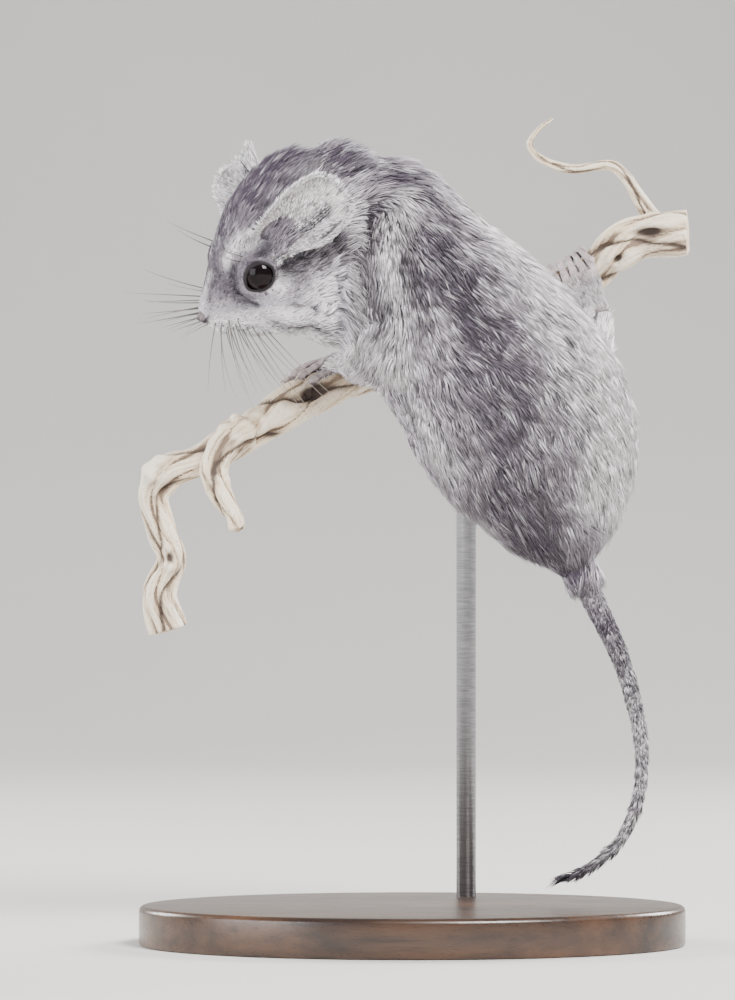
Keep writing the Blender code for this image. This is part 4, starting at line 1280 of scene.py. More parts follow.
def build_paw(name, x, digits, pitch, radius, start, end, slide):
    """A foot with soft knuckles and toe pads, and its claws apart."""
    along = branch_at(x)[2]
    half = (digits - 1) / 2
    heel = Vector(LIMBS[name][-1][:3])
    heel_radius = LIMBS[name][-1][3]
    knuckles = on_branch(x, start, radius + 0.25)
    past = on_branch(x - 0.12 * slide, start + 14, radius)
    wide = half * pitch * along.x + radius
    sections = [
        (heel.lerp(knuckles, -0.34), 0.8 * heel_radius, 0.8 * heel_radius, along),
        (heel, 0.96 * heel_radius, 0.92 * heel_radius, along),
        (heel.lerp(knuckles, 0.45), 0.5 * (heel_radius + wide) + 0.1, 1.4 * radius, along),
        (heel.lerp(knuckles, 0.85), 0.96 * wide, 1.3 * radius, along),
        (knuckles, 0.97 * wide, 1.15 * radius, along),
        (past, 0.84 * wide, 0.8 * radius, along),
    ]
    pieces = [flat_tube(name, sections)]
    claws, digits_run = [], []
    lies_along = slide > 2
    for k in range(digits):
        away = k - half
        reach = end - (26 * away if lies_along else 8 * abs(away))
        root = x + away * pitch * along.x * (0.4 if lies_along else 0.96)
        path, claw = [], []
        for step in range(9):
            share = step / 8
            degrees = start + (reach - start) * share - (20 * away * (1 - share) if lies_along else 0)
            knuckle = 0.10 * math.cos(4 * math.pi * share) + 0.14 * math.exp(-(((share - 0.92) / 0.12) ** 2))
            bow = 0.22 * math.sin(math.pi * share)
            path.append(
                (
                    *on_branch(root + 0.1 * away * share - slide * share, degrees, radius + bow),
                    radius * (0.96 - 0.20 * share + knuckle),
                )
            )
        for share in (0.0, 0.25, 0.5, 0.75, 1.0):
            degrees = reach + (0 if lies_along else 28 * share - 3)
            ahead = root + 0.1 * away - slide - (1.1 * share if lies_along else 0)
            bow = 0.42 * math.sin(math.pi * share)
            claw.append((*on_branch(ahead, degrees, radius + bow - 0.42 * share), 0.34 - 0.30 * share))
        digits_run.append(between(path, 4))
        pieces.append(tube("digit", path, 16, 2))
        claws.append(tube("claw", claw, 12, 3))
    paw = joined(name + "_skin", pieces)
    remeshed(paw, 0.13, 2)
    points, normals = points_of(paw), normals_of(paw)
    gaps = np.stack([nearest(points, run)[0] / radius for run in digits_run], 1)
    gaps.sort(axis=1)
    between_digits = smooth(0.95 if lies_along else 0.55, 0.0, gaps[:, 1] - gaps[:, 0])
    between_digits = between_digits * (1 - smooth(1.8, 3.2, gaps[:, 0]))
    set_points(paw, points - normals * (0.34 * between_digits)[:, None])
    # Random mottling, and painted shade in the gaps between the digits.
    shade = 0.15 + 0.18 * ripple(points, 1.2, 5) + 0.12 * ripple(points, 0.5, 6) + 0.95 * between_digits
    # Painted shade: the skin is darker under each digit, where it meets the wood.
    shade = shade + (0.75 if lies_along else 0.35) * smooth(-0.1, 0.7, -normals[:, 2])
    mark(paw, shade=np.clip(shade, 0, 1))
    return paw, joined(name + "_claws", claws)


def build_whiskers():
    """Stiff hairs in rows from both lip pads, and a few over the eyes, each a fine bent taper."""
    draw = np.random.default_rng(21)
    vertices, triangles, tips = [], [], []
    sides, steps = 5, 12
    sets = []
    for side in (1, -1):
        for row in range(4):
            for k in range(5 if row < 3 else 3):
                place = on_head(1.6 + 0.95 * k + 0.25 * row, (1.9 + 0.42 * k) * side, -1.0 - 0.72 * row)
                ahead = 0.95 - 0.17 * k - 0.06 * row
                rise = (-0.45 if side == 1 else 0.55) - 0.18 * row - 0.06 * k
                heading = head_direction(ahead, (0.42 + 0.10 * row) * side, rise)
                sets.append((place, heading, (11.0 + 1.7 * k - 0.6 * row) * draw.uniform(0.88, 1.14), side))
        for k in range(2):
            root = on_head(9.2 + k, 5.2 * side, 4.4)
            sets.append((root, head_direction(0.5, 0.6 * side, 0.9), 7.0 + 2 * k, side))
    for place, heading, reach, side in sets:
        drop = head_direction(-0.55, 0.1 * side, -0.45) * draw.uniform(0.10, 0.26) * reach
        wobble = Vector(draw.normal(size=3)) * 0.035 * reach
        share = np.linspace(0, 1, steps + 1)[:, None]
        line = np.array(place) + share * reach * np.array(heading) + share**2 * np.array(drop + wobble)
        _, across, over = carried_frames(line)
        angles = np.linspace(0, 2 * math.pi, sides, endpoint=False)
        size = 0.085 * (1 - share) ** 0.8 + 0.018
        base = sum(len(v) for v in vertices)
        across, over = across[:, None], over[:, None]
        circle = across * np.cos(angles)[None, :, None] + over * np.sin(angles)[None, :, None]
        vertices.append((line[:, None, :] + circle * size[:, :, None]).reshape(-1, 3))
        tips.append(np.repeat(share[:, 0], sides))
        for i in range(steps):
            for k in range(sides):
                a, b = base + i * sides + k, base + i * sides + (k + 1) % sides
                triangles += [(a, b, b + sides), (a, b + sides, a + sides)]
        for end in (base, base + steps * sides):
            order = (0, 2, 1) if end == base else (0, 1, 2)
            for k in range(1, sides - 1):
                cap = (end, end + k, end + k + 1)
                triangles.append(tuple(cap[o] for o in order))
    whiskers = triangle_object("whiskers", np.concatenate(vertices), np.array(triangles))
    mark(whiskers, tip=np.concatenate(tips))
    return whiskers


# The coat


# By how far back the hair grows from the nose: its length, lift, width and density.
HAIR_LENGTH = ((0, 2.5, 6, 10, 15, 20, 27, 36), (0.55, 0.8, 1.2, 1.75, 2.6, 3.2, 4.1, 4.7))
HAIR_LIFT = ((0, 6, 14, 24), (0.18, 0.22, 0.27, 0.30))
HAIR_WIDTH = ((0, 6, 14, 26), (0.13, 0.16, 0.23, 0.315))
HAIR_DENSITY = ((0, 6, 14, 24), (4.6, 3.4, 2.0, 1.25))
# The same by the share of the tail's own length.
TAIL_HAIR_LENGTH = ((0, 0.1, 0.5, 0.85, 1), (2.2, 1.5, 1.6, 1.9, 4.2))
TAIL_HAIR_LIFT = ((0, 0.5, 0.85, 1), (0.30, 0.36, 0.40, 0.10))
TAIL_HAIR_WIDTH = 0.2
TAIL_HAIR_DENSITY = 3.2
# Length, lift and width of the down on the ears, and lift and width on the feet.
EAR_DOWN = (1.15, 0.16, 0.13)
FOOT_DOWN = (0.14, 0.12)
# The hair stands up a little on the crown of the back.
BACK_CROWN = (-12.0, -4.0, 119.5)
TUFTS = (124000, 4500, 1500)


def coat_shape(points, normals, where):
    """Length, lift, width and direction of the hair at each point, and how densely it grows."""
    count = len(points)
    _, left, up = head_place(points).T
    back = from_nose(points)
    head = 1 - smooth(24, 34, back)
    ahead = nearest(points, WHOLE_LINE, 5.0)[2]
    limb, down, end = limb_share(points)
    tail, along = tail_share(points, -1.0, 6.0)
    # On the shoulder the hair turns down towards the foreleg, and on the face it fans out from the nose.
    fall = np.array((-0.04, 0.05, -1.0))
    shoulder = np.exp(-(((points[:, 0] + 4.5) / 7.0) ** 2))
    shoulder = shoulder * (1 - smooth(108, 117, points[:, 2])) * (1 - head * 0.7)
    ahead = unit(ahead * (1 - 0.85 * shoulder)[:, None] + fall * (0.85 * shoulder)[:, None])
    sideways = 0.35 * np.sign(left) * np.minimum(np.abs(left) / 5, 1)
    fan = np.stack([np.ones(count), sideways, 0.30 * up / 8], 1) @ HEAD_TURN
    ahead = unit(ahead * (1 - head)[:, None] + fan * head[:, None])
    ahead = unit(ahead * (1 - 0.85 * limb)[:, None] + down * (0.85 * limb)[:, None])
    # Hair parts round the eye.
    for side in (1, -1):
        middle, looks = eye_place(side)
        away = points - np.array(middle)
        away -= np.outer(away @ np.array(looks), np.array(looks))
        near = (1 - smooth(0.6, 3.0, eye_distance(points)))[:, None] * (left * side > 0)[:, None]
        ahead = unit(ahead * (1 - 0.65 * near) + unit(away) * 0.65 * near)
    ahead = ahead - normals * np.sum(ahead * normals, 1)[:, None]
    ahead = unit(ahead)
    swirl = 0.30 * ripple(points, 4.0, 7) + 0.16 * ripple(points, 1.6, 8) + random.normal(0, 0.10, count)
    ahead = ahead * np.cos(swirl)[:, None] + np.cross(normals, ahead) * np.sin(swirl)[:, None]
    length = np.interp(back, *HAIR_LENGTH)
    crown = np.exp(-((np.linalg.norm(points - np.array(BACK_CROWN), axis=1) / 9.0) ** 2))
    lift = np.interp(back, *HAIR_LIFT) + 0.22 * crown
    width = np.interp(back, *HAIR_WIDTH)
    eye = eye_distance(points)
    shorter = 0.35 + 0.65 * smooth(0.6, 4.0, eye)
    length = length * shorter * (1 - 0.25 * shoulder)
    width = width * (0.65 + 0.35 * shorter)
    on_limb = limb * smooth(0.4, 1.0, end)
    length = length * (1 - 0.62 * on_limb)
    width = width * (1 - 0.3 * on_limb)
    length = length * (1 - tail) + tail * np.interp(along, *TAIL_HAIR_LENGTH)
    lift = lift * (1 - tail) + tail * np.interp(along, *TAIL_HAIR_LIFT)
    width = width * (1 - tail) + tail * TAIL_HAIR_WIDTH
    if where == "ear":
        roots_of_ears = np.array([shape["root"] for shape in EARS.values()])
        spokes = points[:, None, :] - roots_of_ears[None, :, :]
        nearer = np.argmin(np.linalg.norm(spokes, axis=2), axis=1)
        ahead = unit(spokes[np.arange(count), nearer])
        ahead = unit(ahead - normals * np.sum(ahead * normals, 1)[:, None])
        length, lift, width = (np.full(count, size) for size in EAR_DOWN)
    if where in LIMBS:
        x, _, _, radius, start, _, _ = PAWS[where]
        heel = np.array(LIMBS[where][-1][:3])
        foot = np.array(on_branch(x, start, radius)) - heel
        reach = np.linalg.norm(points - heel, axis=1) / np.linalg.norm(foot)
        ahead = unit(foot - normals * (normals @ foot)[:, None])
        length = 1.25 - 0.55 * smooth(0.3, 1.1, reach)
        lift, width = (np.full(count, size) for size in FOOT_DOWN)
    length = length * random.uniform(0.72, 1.22, count) * (1 + 0.10 * ripple(points, 2.5, 9))
    lift = lift * random.uniform(0.65, 1.3, count)
    width = width * random.uniform(0.75, 1.2, count)
    density = np.interp(back, *HAIR_DENSITY) * (1 - tail) + TAIL_HAIR_DENSITY * tail
    density = density * (1 + 1.0 * on_limb) * (1 + 0.35 * crown)
    if where == "ear":
        density = np.ones(count)
    if where in LIMBS:
        density = 1 - smooth(0.5, 0.95, reach)
    return ahead, length, lift, width, density


def bald(points, mouth):
    """True where no hair grows: eyes and lids, the nose, the line of the mouth, and inside the paws."""
    none = (eye_distance(points) < 1.0) & (rim_distance(points) < 0.50)
    none |= np.linalg.norm(points - np.array(on_head(0.0, 0, -0.4)), axis=1) < 1.35
    none |= nearest(points, mouth)[0] < 0.30
    for limb in LIMBS.values():
        last, before = np.array(limb[-1][:3]), np.array(limb[-2][:3])
        axis = (last - before) / np.linalg.norm(last - before)
        none |= (np.linalg.norm(points - last, axis=1) < 4) & ((points - last) @ axis > -0.1)
    return none


def scatter(obj, density, total):
    """Random places on a mesh, as many as asked for, thicker where the density is higher."""
    points, normals, triangles = points_of(obj), normals_of(obj), triangles_of(obj)
    a, b, c = (points[triangles[:, k]] for k in range(3))
    area = 0.5 * np.linalg.norm(np.cross(b - a, c - a), axis=1)
    weight = area * density[triangles].mean(1)
    picked = random.choice(len(triangles), total, p=weight / weight.sum())
    u, v = random.uniform(size=(2, total))
    flip = u + v > 1
    u[flip], v[flip] = 1 - u[flip], 1 - v[flip]
    shares = np.stack([1 - u - v, u, v], 1)[:, :, None]
    corners = triangles[picked]
    return (points[corners] * shares).sum(1), unit((normals[corners] * shares).sum(1))


def clumped(roots, tips, size, pull):
    """Draws the tips of neighbouring tufts together into locks, and gives each lock a number."""
    count = len(roots)
    centres = random.choice(count, max(2, int(count / size)), replace=False)
    tree = point_tree(roots[centres])
    owner = np.array([tree.find(root)[1] for root in roots])
    middle = centres[owner]
    target = tips[middle] + 0.35 * (roots - roots[middle])
    close = np.linalg.norm(roots - roots[middle], axis=1) < 2.2
    return tips + (target - tips) * (pull * close)[:, None], owner


def proxy_unwrap(pieces):
    """A coarse copy of the skin, ears included, unwrapped by its own shape."""
    proxy = joined("proxy", pieces, keep=True)
    thinned(proxy, 5200 / len(proxy.data.polygons))
    bpy.ops.object.select_all(action="DESELECT")
    bpy.context.view_layer.objects.active = proxy
    proxy.select_set(True)
    bpy.ops.object.mode_set(mode="EDIT")
    bpy.ops.mesh.select_all(action="SELECT")
    bpy.ops.uv.smart_project(angle_limit=math.radians(66), island_margin=0.004)
    bpy.ops.object.mode_set(mode="OBJECT")
    return proxy


def unwrap_places(proxy, roots):
    """Where each root lies on the unwrap."""
    points, triangles = points_of(proxy), triangles_of(proxy)
    loops = np.array([t.loops for t in proxy.data.loop_triangles])
    layer = proxy.data.uv_layers[0].data
    uv = np.empty(2 * len(layer), np.float32)
    layer.foreach_get("uv", uv)
    uv = uv.reshape(-1, 2)
    tree = BVHTree.FromPolygons([tuple(p) for p in points], [tuple(map(int, t)) for t in triangles])
    found = [tree.find_nearest(Vector(root)) for root in roots]
    face = np.array([f[2] for f in found])
    spot = np.array([f[0] for f in found])
    a, b, c = (points[triangles[face, k]] for k in range(3))
    total = np.maximum(np.linalg.norm(np.cross(b - a, c - a), axis=1), 1e-9)
    wa = np.linalg.norm(np.cross(b - spot, c - spot), axis=1) / total
    wb = np.linalg.norm(np.cross(c - spot, a - spot), axis=1) / total
    shares = np.stack([wa, wb, np.clip(1 - wa - wb, 0, 1)], 1)[:, :, None]
    return (uv[loops[face]] * shares).sum(1)


TUFTS_TO_A_PIECE = 19500
TUFT_PATCH = 0.003
TUFT_FACES = np.array(
    [
        (0, 1, 4), (0, 4, 3), (1, 2, 5), (1, 5, 4), (2, 0, 3),
        (2, 3, 5), (3, 4, 6), (4, 5, 6), (5, 3, 6), (0, 2, 1),
    ]
)
TUFT_SPREAD = np.array([(-0.5, -0.5), (0.5, -0.5), (0, -0.2), (-0.4, 0.1), (0.4, 0.1), (0, 0.2), (0, 0.5)])


def tuft_pieces(name, roots, normals, middles, tips, widths, marks, places):
    """Solid tufts of three sides and a point, joined into pieces small enough to export."""
    made = []
    for number, start in enumerate(range(0, len(roots), TUFTS_TO_A_PIECE)):
        part = slice(start, start + TUFTS_TO_A_PIECE)
        r, n, m, t, w = roots[part], normals[part], middles[part], tips[part], widths[part][:, None]
        side = unit(np.cross(n, unit(t - r)))
        over = unit(np.cross(unit(t - m), side))
        sunk = r - 0.18 * n
        corners = [
            sunk - 0.5 * w * side,
            sunk + 0.5 * w * side,
            sunk + 0.42 * w * n,
            m - 0.45 * w * side,
            m + 0.45 * w * side,
            m + 0.32 * w * over,
            t,
        ]
        count = len(r)
        vertices = np.stack(corners, 1).reshape(-1, 3)
        triangles = (TUFT_FACES[None] + 7 * np.arange(count)[:, None, None]).reshape(-1, 3)
        piece = triangle_object(f"{name}_{number + 1}", vertices, triangles)
        mark(piece, tip=np.tile((0, 0, 0, 0.55, 0.55, 0.55, 1.0), count))
        mark(piece, **{label: np.repeat(values[part], 7) for label, values in marks.items()})
        patch = (places[part][:, None, :] + TUFT_PATCH * TUFT_SPREAD[None]).reshape(-1, 2)
        layer = piece.data.uv_layers.new(name="OFBake")
        loops = np.empty(len(piece.data.loops), np.int32)
        piece.data.loops.foreach_get("vertex_index", loops)
        layer.data.foreach_set("uv", patch[loops].astype(np.float32).ravel())
        made.append(piece)
    return made


def grow(obj, total, where, mouth, pull, lock):
    """Roots, bends, tips, widths and marks of the hair on one surface."""
    points, normals = points_of(obj), normals_of(obj)
    density = coat_shape(points, normals, where)[4]
    if where == "body":
        density = np.where(bald(points, mouth), 0, density)
    roots, normals = scatter(obj, density, total)
    if where == "body":
        keep = ~bald(roots, mouth)
        roots, normals = roots[keep], normals[keep]
    ahead, length, lift, width, _ = coat_shape(roots, normals, where)
    rise = np.sin(lift)[:, None] * normals
    middles = roots + (0.5 * length)[:, None] * (np.cos(lift)[:, None] * ahead + rise)
    tips = middles + (0.5 * length)[:, None] * (np.cos(0.45 * lift)[:, None] * ahead + 0.35 * rise)
    tips, lock_number = clumped(roots, tips, lock, pull)
    middles += 0.35 * pull * (0.5 * (roots + tips) - middles)
    dorsal, pale, dark = markings(roots)
    lock_tone = random.uniform(0.0, 1.0, lock_number.max() + 1)[lock_number]
    tone = 0.42 * lock_tone + 0.58 * random.uniform(0, 1, len(roots)) + 0.10 * ripple(roots, 3.0, 11)
    spare = np.interp(from_nose(roots), (0, 8, 16, 26), (0.45, 0.60, 0.85, 1.0))
    tone = np.clip(0.54 + (tone - 0.5) * spare, 0, 1)
    marks = {"dorsal": dorsal, "pale": pale, "dark": dark, "tone": tone}
    return [roots, normals, middles, tips, width, marks]


def build_coat(skin, ears, paws, mouth):
    """All the hair: the body's in order from nose to tail tip, then the ears' and the feet's."""
    proxy = proxy_unwrap([skin, *ears, *paws.values()])
    body_total, ear_total, foot_total = TUFTS
    made = []
    body = grow(skin, body_total, "body", mouth, 0.45, 6)
    order = np.argsort(nearest(body[0], WHOLE_LINE)[1], kind="stable")
    batches = [("coat", [part[order] for part in body[:5]] + [{k: v[order] for k, v in body[5].items()}])]
    for ear in ears:
        hair = grow(ear, ear_total, "ear", mouth, 0.3, 5)
        shade = ear_shade(ear, hair[0])
        hair[5]["dorsal"] = np.zeros(len(hair[0]))
        hair[5]["pale"] = 0.95 * (1 - smooth(0.45, 0.95, shade))
        hair[5]["dark"] = smooth(0.45, 0.90, shade)
        batches.append((ear.name + "_down", hair))
    for name, paw in paws.items():
        hair = grow(paw, foot_total, name, mouth, 0.3, 5)
        hair[5]["dorsal"] = np.full(len(hair[0]), 0.25)
        hair[5]["pale"] = np.full(len(hair[0]), 0.45)
        hair[5]["dark"] = np.zeros(len(hair[0]))
        batches.append((name + "_down", hair))
    for name, (roots, normals, middles, tips, widths, marks) in batches:
        places = unwrap_places(proxy, roots)
        made += tuft_pieces(name, roots, normals, middles, tips, widths, marks, places)
    bpy.data.objects.remove(proxy)
    return made


# Branch and stand


def bark(name, stations, steps, sides, seed, strands, depth, cut_ends):
    """A twisted, ridged length of wood, with the height of its fibres kept for its colour, which paints shade
    in the hollows and highlight on the crests.
    """
    run = between(stations, steps)
    points, radii = run[:, :3], run[:, 3]
    tangents, across, over = carried_frames(points)
    angles = np.linspace(0, 2 * math.pi, sides, endpoint=False)[None, :]
    share = np.linspace(0, 1, len(run))[:, None]
    s = reach_along(run)[:, None]
    twist = 11.0 * share if cut_ends else 5.0 * share
    broad = 0.10 * np.cos(3 * angles + twist) + 0.05 * np.cos(5 * angles - 1.7 * twist)
    broad = broad + 0.05 * np.sin(37 * share + 1.5 * np.cos(angles)) + 0.04 * np.sin(61 * share)
    if not cut_ends:
        broad = 0.5 * broad
    whole = np.ones((len(run), sides))
    where = np.stack([s * whole, 3 * np.cos(angles) * whole, 3 * np.sin(angles) * whole], 2)
    flat = where.reshape(-1, 3)
    warp = ripple(flat * (0.35, 1, 1), 3.0, seed).reshape(s.shape[0], -1)
    turn = strands * angles + 0.42 * s + 1.1 * warp
    ridge = np.abs(np.sin(0.5 * turn)) ** 0.7 - 0.62
    uneven = ripple(flat * (0.16, 1.6, 1.6), 0.9, seed + 1).reshape(ridge.shape)
    fine = np.sin(3.1 * turn + 2.2 * warp) * 0.5 + 0.5 * uneven
    # Thick strands wind round each other under the fibres.
    wound = (3 if cut_ends else 2) * angles - 0.34 * s + 0.9 * np.sin(0.21 * s) + 0.5 * warp
    strand = np.abs(np.sin(0.5 * wound)) ** 0.6 - 0.74
    swell = 1.0 + broad + 0.26 * strand + depth * (0.75 * ridge + 0.22 * fine)
    # Where the cracks are: they are pressed in a little, and the material paints shade in them.
    between_ridges = smooth(0.30, 0.56, -ridge) * smooth(-0.3, 0.7, warp)
    crack = np.maximum(between_ridges, 0.95 * smooth(0.24, 0.56, -strand))
    ridge = ridge + 0.6 * strand
    circle = across[:, None, :] * np.cos(angles)[:, :, None] + over[:, None, :] * np.sin(angles)[:, :, None]
    grid = points[:, None, :] + circle * (radii[:, None] * (swell - 0.05 * crack))[:, :, None]
    vertices = grid.reshape(-1, 3)
    faces = walls(len(run), sides)
    caps = []
    for end, flip in ((0, True), (len(run) - 1, False)):
        middle = len(vertices) + len(caps)
        caps.append(points[end] + tangents[end] * (-0.5 if flip else 0.5) * (0 if cut_ends else radii[end]))
        for k in range(sides):
            a, b = end * sides + k, end * sides + (k + 1) % sides
            faces.append((b, a, middle) if flip else (a, b, middle))
    vertices = np.concatenate([vertices, np.array(caps)])
    obj = faced_out(mesh_object(name, vertices, faces))
    crack, fibre = crack.ravel(), (-(ridge + 0.45 * fine)).ravel()
    mark(obj, crack=np.append(crack, (0, 0)), fibre=np.append(fibre, (0.2, 0.2)))
    return obj


WOOD_KNOTS = (
    ((-14.9, 8.0, 83.4), 3.2, 0.45, 1.60, 0.45),
    ((-23.8, 5.4, 78.4), 2.0, 0.70, 0.00, 1.0),
    ((-27.4, 4.6, 78.0), 1.9, 0.45, 0.95, 1.0),
    ((-38.6, 7.0, 71.4), 2.0, 0.80, 0.00, 1.0),
    ((-36.6, 8.0, 58.0), 1.5, 0.35, 0.55, 0.7),
    ((36.0, 10.2, 107.4), 1.9, 0.25, 0.75, 0.35),
    ((31.6, 11.6, 103.6), 1.4, 0.30, 0.60, 0.6),
)


def build_wood():
    """The branch with both twigs grown out of it as one piece, with burls and a hollow knot."""
    pieces = [
        bark("branch", BRANCH, 20, 84, 30, 6, 0.20, True),
        bark("hook", HOOK_TWIG, 18, 52, 40, 4, 0.20, False),
        bark("fine", FINE_TWIG, 14, 30, 50, 4, 0.14, False),
    ]
    grown = np.concatenate([points_of(piece) for piece in pieces])
    kept = {label: np.concatenate([marked(piece, label) for piece in pieces]) for label in ("crack", "fibre")}
    tree = point_tree(grown)
    wood = remeshed(joined("perch_wood", pieces), 0.17, 2)
    points, normals = points_of(wood), normals_of(wood)
    spot = [tree.find(point)[1] for point in points]
    crack, fibre = kept["crack"][spot], kept["fibre"][spot]
    points = points - normals * (0.09 * fibre + 0.12 * crack)[:, None]
    along = unit(np.gradient(BRANCH_LINE[:, :3], axis=0))
    for place, reach, height, hollow, slim in WOOD_KNOTS:
        away = points - np.array(place)
        direction = along[nearest(np.array([place]), BRANCH_LINE)[1][0]]
        lengthwise = away @ direction
        away = away + np.outer(lengthwise * (slim - 1), direction)
        distance = np.linalg.norm(away, axis=1)
        rim = np.exp(-(((distance - 0.75 * reach) / (0.40 * reach)) ** 2))
        pit = np.exp(-((distance / (0.40 * reach)) ** 2))
        points = points + normals * (height * rim - hollow * pit)[:, None]
        # The hollow of a knot joins the cracks, so it is painted dark as shade.
        crack = np.maximum(crack, smooth(0.15, 0.60, pit) * (hollow > 0.2))
    set_points(wood, points)
    mark(wood, crack=crack, fibre=fibre)
    thinned(wood, 0.6)
    wood.data.shade_smooth()
    return wood


def build_cut_ends():
    """Both sawn ends of the branch, a hair proud of the bark's own ends."""
    vertices, faces, rings = [], [], []
    for end, sign in ((0, -1), (-1, 1)):
        run = between(BRANCH, 20)
        ahead = unit(np.gradient(run[:, :3], axis=0))[end] * sign
        across = np.cross(ahead, (0.0, 0.0, 1.0) if abs(ahead[2]) < 0.7 else (0.0, 1.0, 0.0))
        across /= np.linalg.norm(across)
        over = np.cross(ahead, across)
        first = len(vertices)
        vertices.append(run[end, :3] + ahead * 0.10)
        rings.append(0.0)
        for ring in range(1, 9):
            for k in range(48):
                angle = 2 * math.pi * k / 48
                radius = run[end, 3] * 0.86 * ring / 8 * (1 + 0.05 * math.cos(3 * angle + 1))
                rise = 0.10 if ring < 8 else -0.15
                out = across * math.cos(angle) + over * math.sin(angle)
                place = run[end, :3] + ahead * rise + out * radius
                vertices.append(place)
                rings.append(ring / 8)
                a = first + 1 + 48 * (ring - 1) + k
                b = first + 1 + 48 * (ring - 1) + (k + 1) % 48
                faces.append((first, a, b) if ring == 1 else (a - 48, a, b, b - 48))
    ends = mesh_object("perch_cut_ends", vertices, faces)
    mark(ends, ring=rings)
    return ends


def build_base():
    """The oval base, with an eased edge above and below."""
    profile = [(0.5, 0.0), (0.12, 0.12), (0.0, 0.5)]
    height = BASE_HEIGHT
    for k in range(7):
        angle = math.radians(15 * k)
        profile.append((0.9 - 0.9 * math.cos(angle), height - 0.9 + 0.9 * math.sin(angle)))
    sides = 160
    angles = np.linspace(0, 2 * math.pi, sides, endpoint=False)
    rings = []
    for inset, z in profile:
        x = (BASE_LENGTH / 2 - inset) * np.cos(angles)
        y = (BASE_WIDTH / 2 - inset) * np.sin(angles)
        rings.append(np.stack([x, y, np.full(sides, z)], 1))
    base = ring_tube("stand_base_wood", rings)
    base.data.set_sharp_from_angle(angle=math.radians(50))
    return base


def build_rod():
    middle, wood, _ = branch_at(ROD_X)
    low, high = BASE_HEIGHT / 2 + GAP, middle.z - 1.02 * wood
    rings = []
    angles = np.linspace(0, 2 * math.pi, 48, endpoint=False)
    profile = ((low, ROD_RADIUS - 0.1), (low + 0.1, ROD_RADIUS), (high - 0.5, ROD_RADIUS), (high, ROD_RADIUS))
    for z, radius in profile:
        x, y = middle.x + radius * np.cos(angles), middle.y + radius * np.sin(angles)
        rings.append(np.stack([x, y, np.full(48, z)], 1))
    rod = ring_tube("stand_rod_steel", rings)
    rod.data.set_sharp_from_angle(angle=math.radians(50))
    return rod


# Light, floor and camera


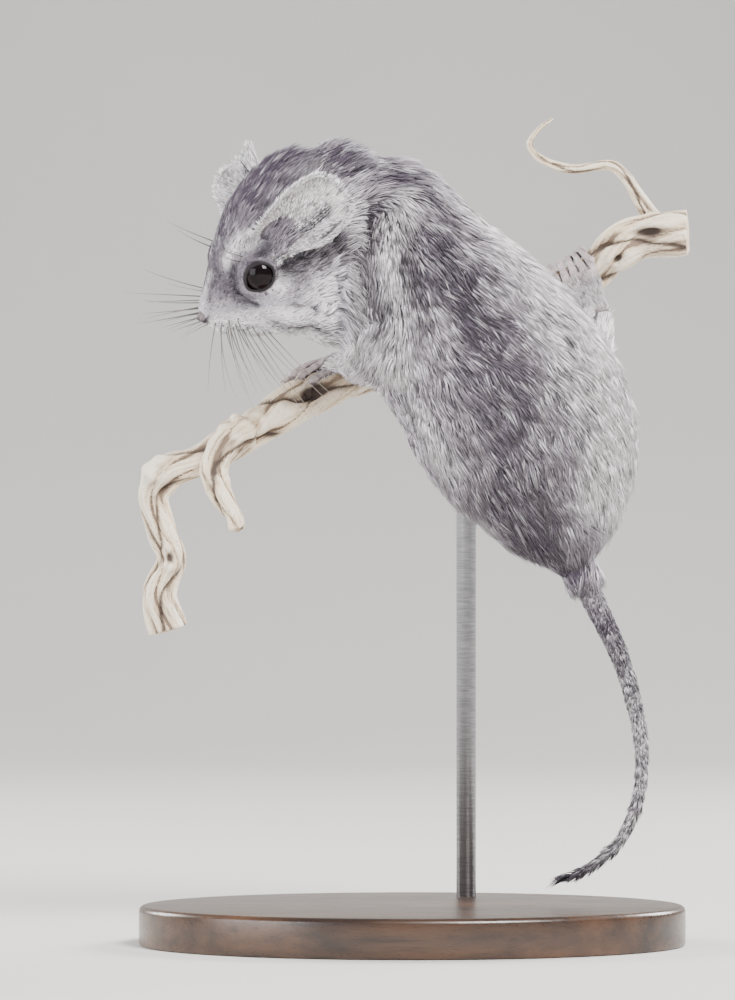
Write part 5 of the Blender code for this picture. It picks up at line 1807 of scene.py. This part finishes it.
def build_studio():
    """A pale floor that curves up into a backdrop, soft lights, and the camera of the picture."""
    profile = [(-1.2, 0.0), (0.0, 0.0), (0.55, 0.0)]
    for k in range(1, 13):
        angle = math.radians(7.5 * k)
        profile.append((0.55 + 0.45 * math.sin(angle), 0.45 - 0.45 * math.cos(angle)))
    profile.append((1.0, 2.2))
    vertices, faces = [], []
    for y, z in profile:
        vertices += [(-2.4 / MM, y / MM, z / MM), (2.4 / MM, y / MM, z / MM)]
    for i in range(len(profile) - 1):
        faces.append((2 * i, 2 * i + 1, 2 * i + 3, 2 * i + 2))
    floor = mesh_object("floor", vertices, faces)
    made, nodes, links, shader = material("pale floor")
    tone = spread(nodes, links, noise(nodes, links, 6, 3.0), 0.3, 0.7)
    colour = mixed(nodes, links, tone, (0.68, 0.67, 0.65, 1), (0.645, 0.635, 0.615, 1))
    links.new(colour, shader.inputs["Base Color"])
    shader.inputs["Roughness"].default_value = 0.85
    floor.data.materials.append(made)
    world = bpy.data.worlds.new("studio")
    bpy.context.scene.world = world
    world.use_nodes = True
    world.node_tree.nodes["Background"].inputs["Color"].default_value = (0.86, 0.88, 0.92, 1)
    world.node_tree.nodes["Background"].inputs["Strength"].default_value = 0.34
    lights = (
        ("key", (0.30, -0.55, 0.62), 0.30, 14.5, (1.0, 0.975, 0.94)),
        ("fill", (-0.60, -0.50, 0.22), 0.50, 5.4, (0.95, 0.97, 1.0)),
        ("rim_right", (0.48, 0.30, 0.35), 0.25, 7.0, (1.0, 1.0, 1.0)),
        ("rim_left", (-0.50, 0.25, 0.25), 0.25, 5.0, (1.0, 0.98, 0.95)),
    )
    for name, place, size, power, colour in lights:
        lamp = bpy.data.lights.new(name, "AREA")
        lamp.energy = power
        lamp.size = size
        lamp.color = colour
        obj = bpy.data.objects.new(name, lamp)
        obj.location = place
        aim = Vector((0.0, 0.0, 0.09)) - Vector(place)
        obj.rotation_euler = aim.to_track_quat("-Z", "Y").to_euler()
        bpy.context.scene.collection.objects.link(obj)
    camera = bpy.data.cameras.new("camera")
    camera.sensor_fit = "VERTICAL"
    camera.sensor_height = SENSOR_HEIGHT
    camera.lens = SENSOR_HEIGHT * VIEW_DISTANCE / (PICTURE_HEIGHT * PIXEL)
    camera.clip_end = 10.0
    seat = bpy.data.objects.new("camera", camera)
    seat.location = Vector(VIEW_MIDDLE) * MM + Vector((0, -VIEW_DISTANCE * MM, 0))
    seat.rotation_euler = (math.radians(90), 0, 0)
    bpy.context.scene.collection.objects.link(seat)
    bpy.context.scene.camera = seat


# The whole


def main():
    build_studio()
    skin_material = skin_finish()
    skin, mouth = build_skin()
    finish_piece(skin, skin_material, "fur", *FLESH)
    ears = []
    ear_material = bare_skin_finish("ear skin", (0.66, 0.60, 0.61, 1), (0.040, 0.030, 0.038, 1), 1500, 0.6)
    for name, shape in EARS.items():
        ears.append(finish_piece(build_ear(name + "_skin", shape), ear_material, "ear_skin", name))
    eye_material = eye_finish()
    for name, side in (("eye_left", 1), ("eye_right", -1)):
        finish_piece(build_eye(name + "_globe", side), eye_material, "eye", name)
    paw_material = bare_skin_finish("paw skin", (0.60, 0.52, 0.52, 1), (0.075, 0.055, 0.065, 1), 1700, 0.5)
    claw_material = claw_finish()
    paws = {}
    for name, values in PAWS.items():
        paw, claws = build_paw(name, **dict(zip(PAW_SIZES, values)))
        paws[name] = finish_piece(paw, paw_material, "paw_skin", name)
        finish_piece(claws, claw_material, "paw_skin")
    finish_piece(build_whiskers(), whisker_finish(), "fur")
    hair = coat_finish()
    for piece in build_coat(skin, ears, paws, mouth):
        finish_piece(piece, hair, "fur")
    bark_material = bark_finish()
    wood = build_wood()
    finish_piece(wood, bark_material, "branch_wood", "perch_branch", "perch_twig_hook", "perch_twig_fine")
    finish_piece(build_cut_ends(), cut_wood_finish(), "branch_wood")
    finish_piece(build_base(), base_finish(), "base_wood", "stand_base")
    finish_piece(build_rod(), rod_finish(), "rod_steel", "stand_rod")


main()
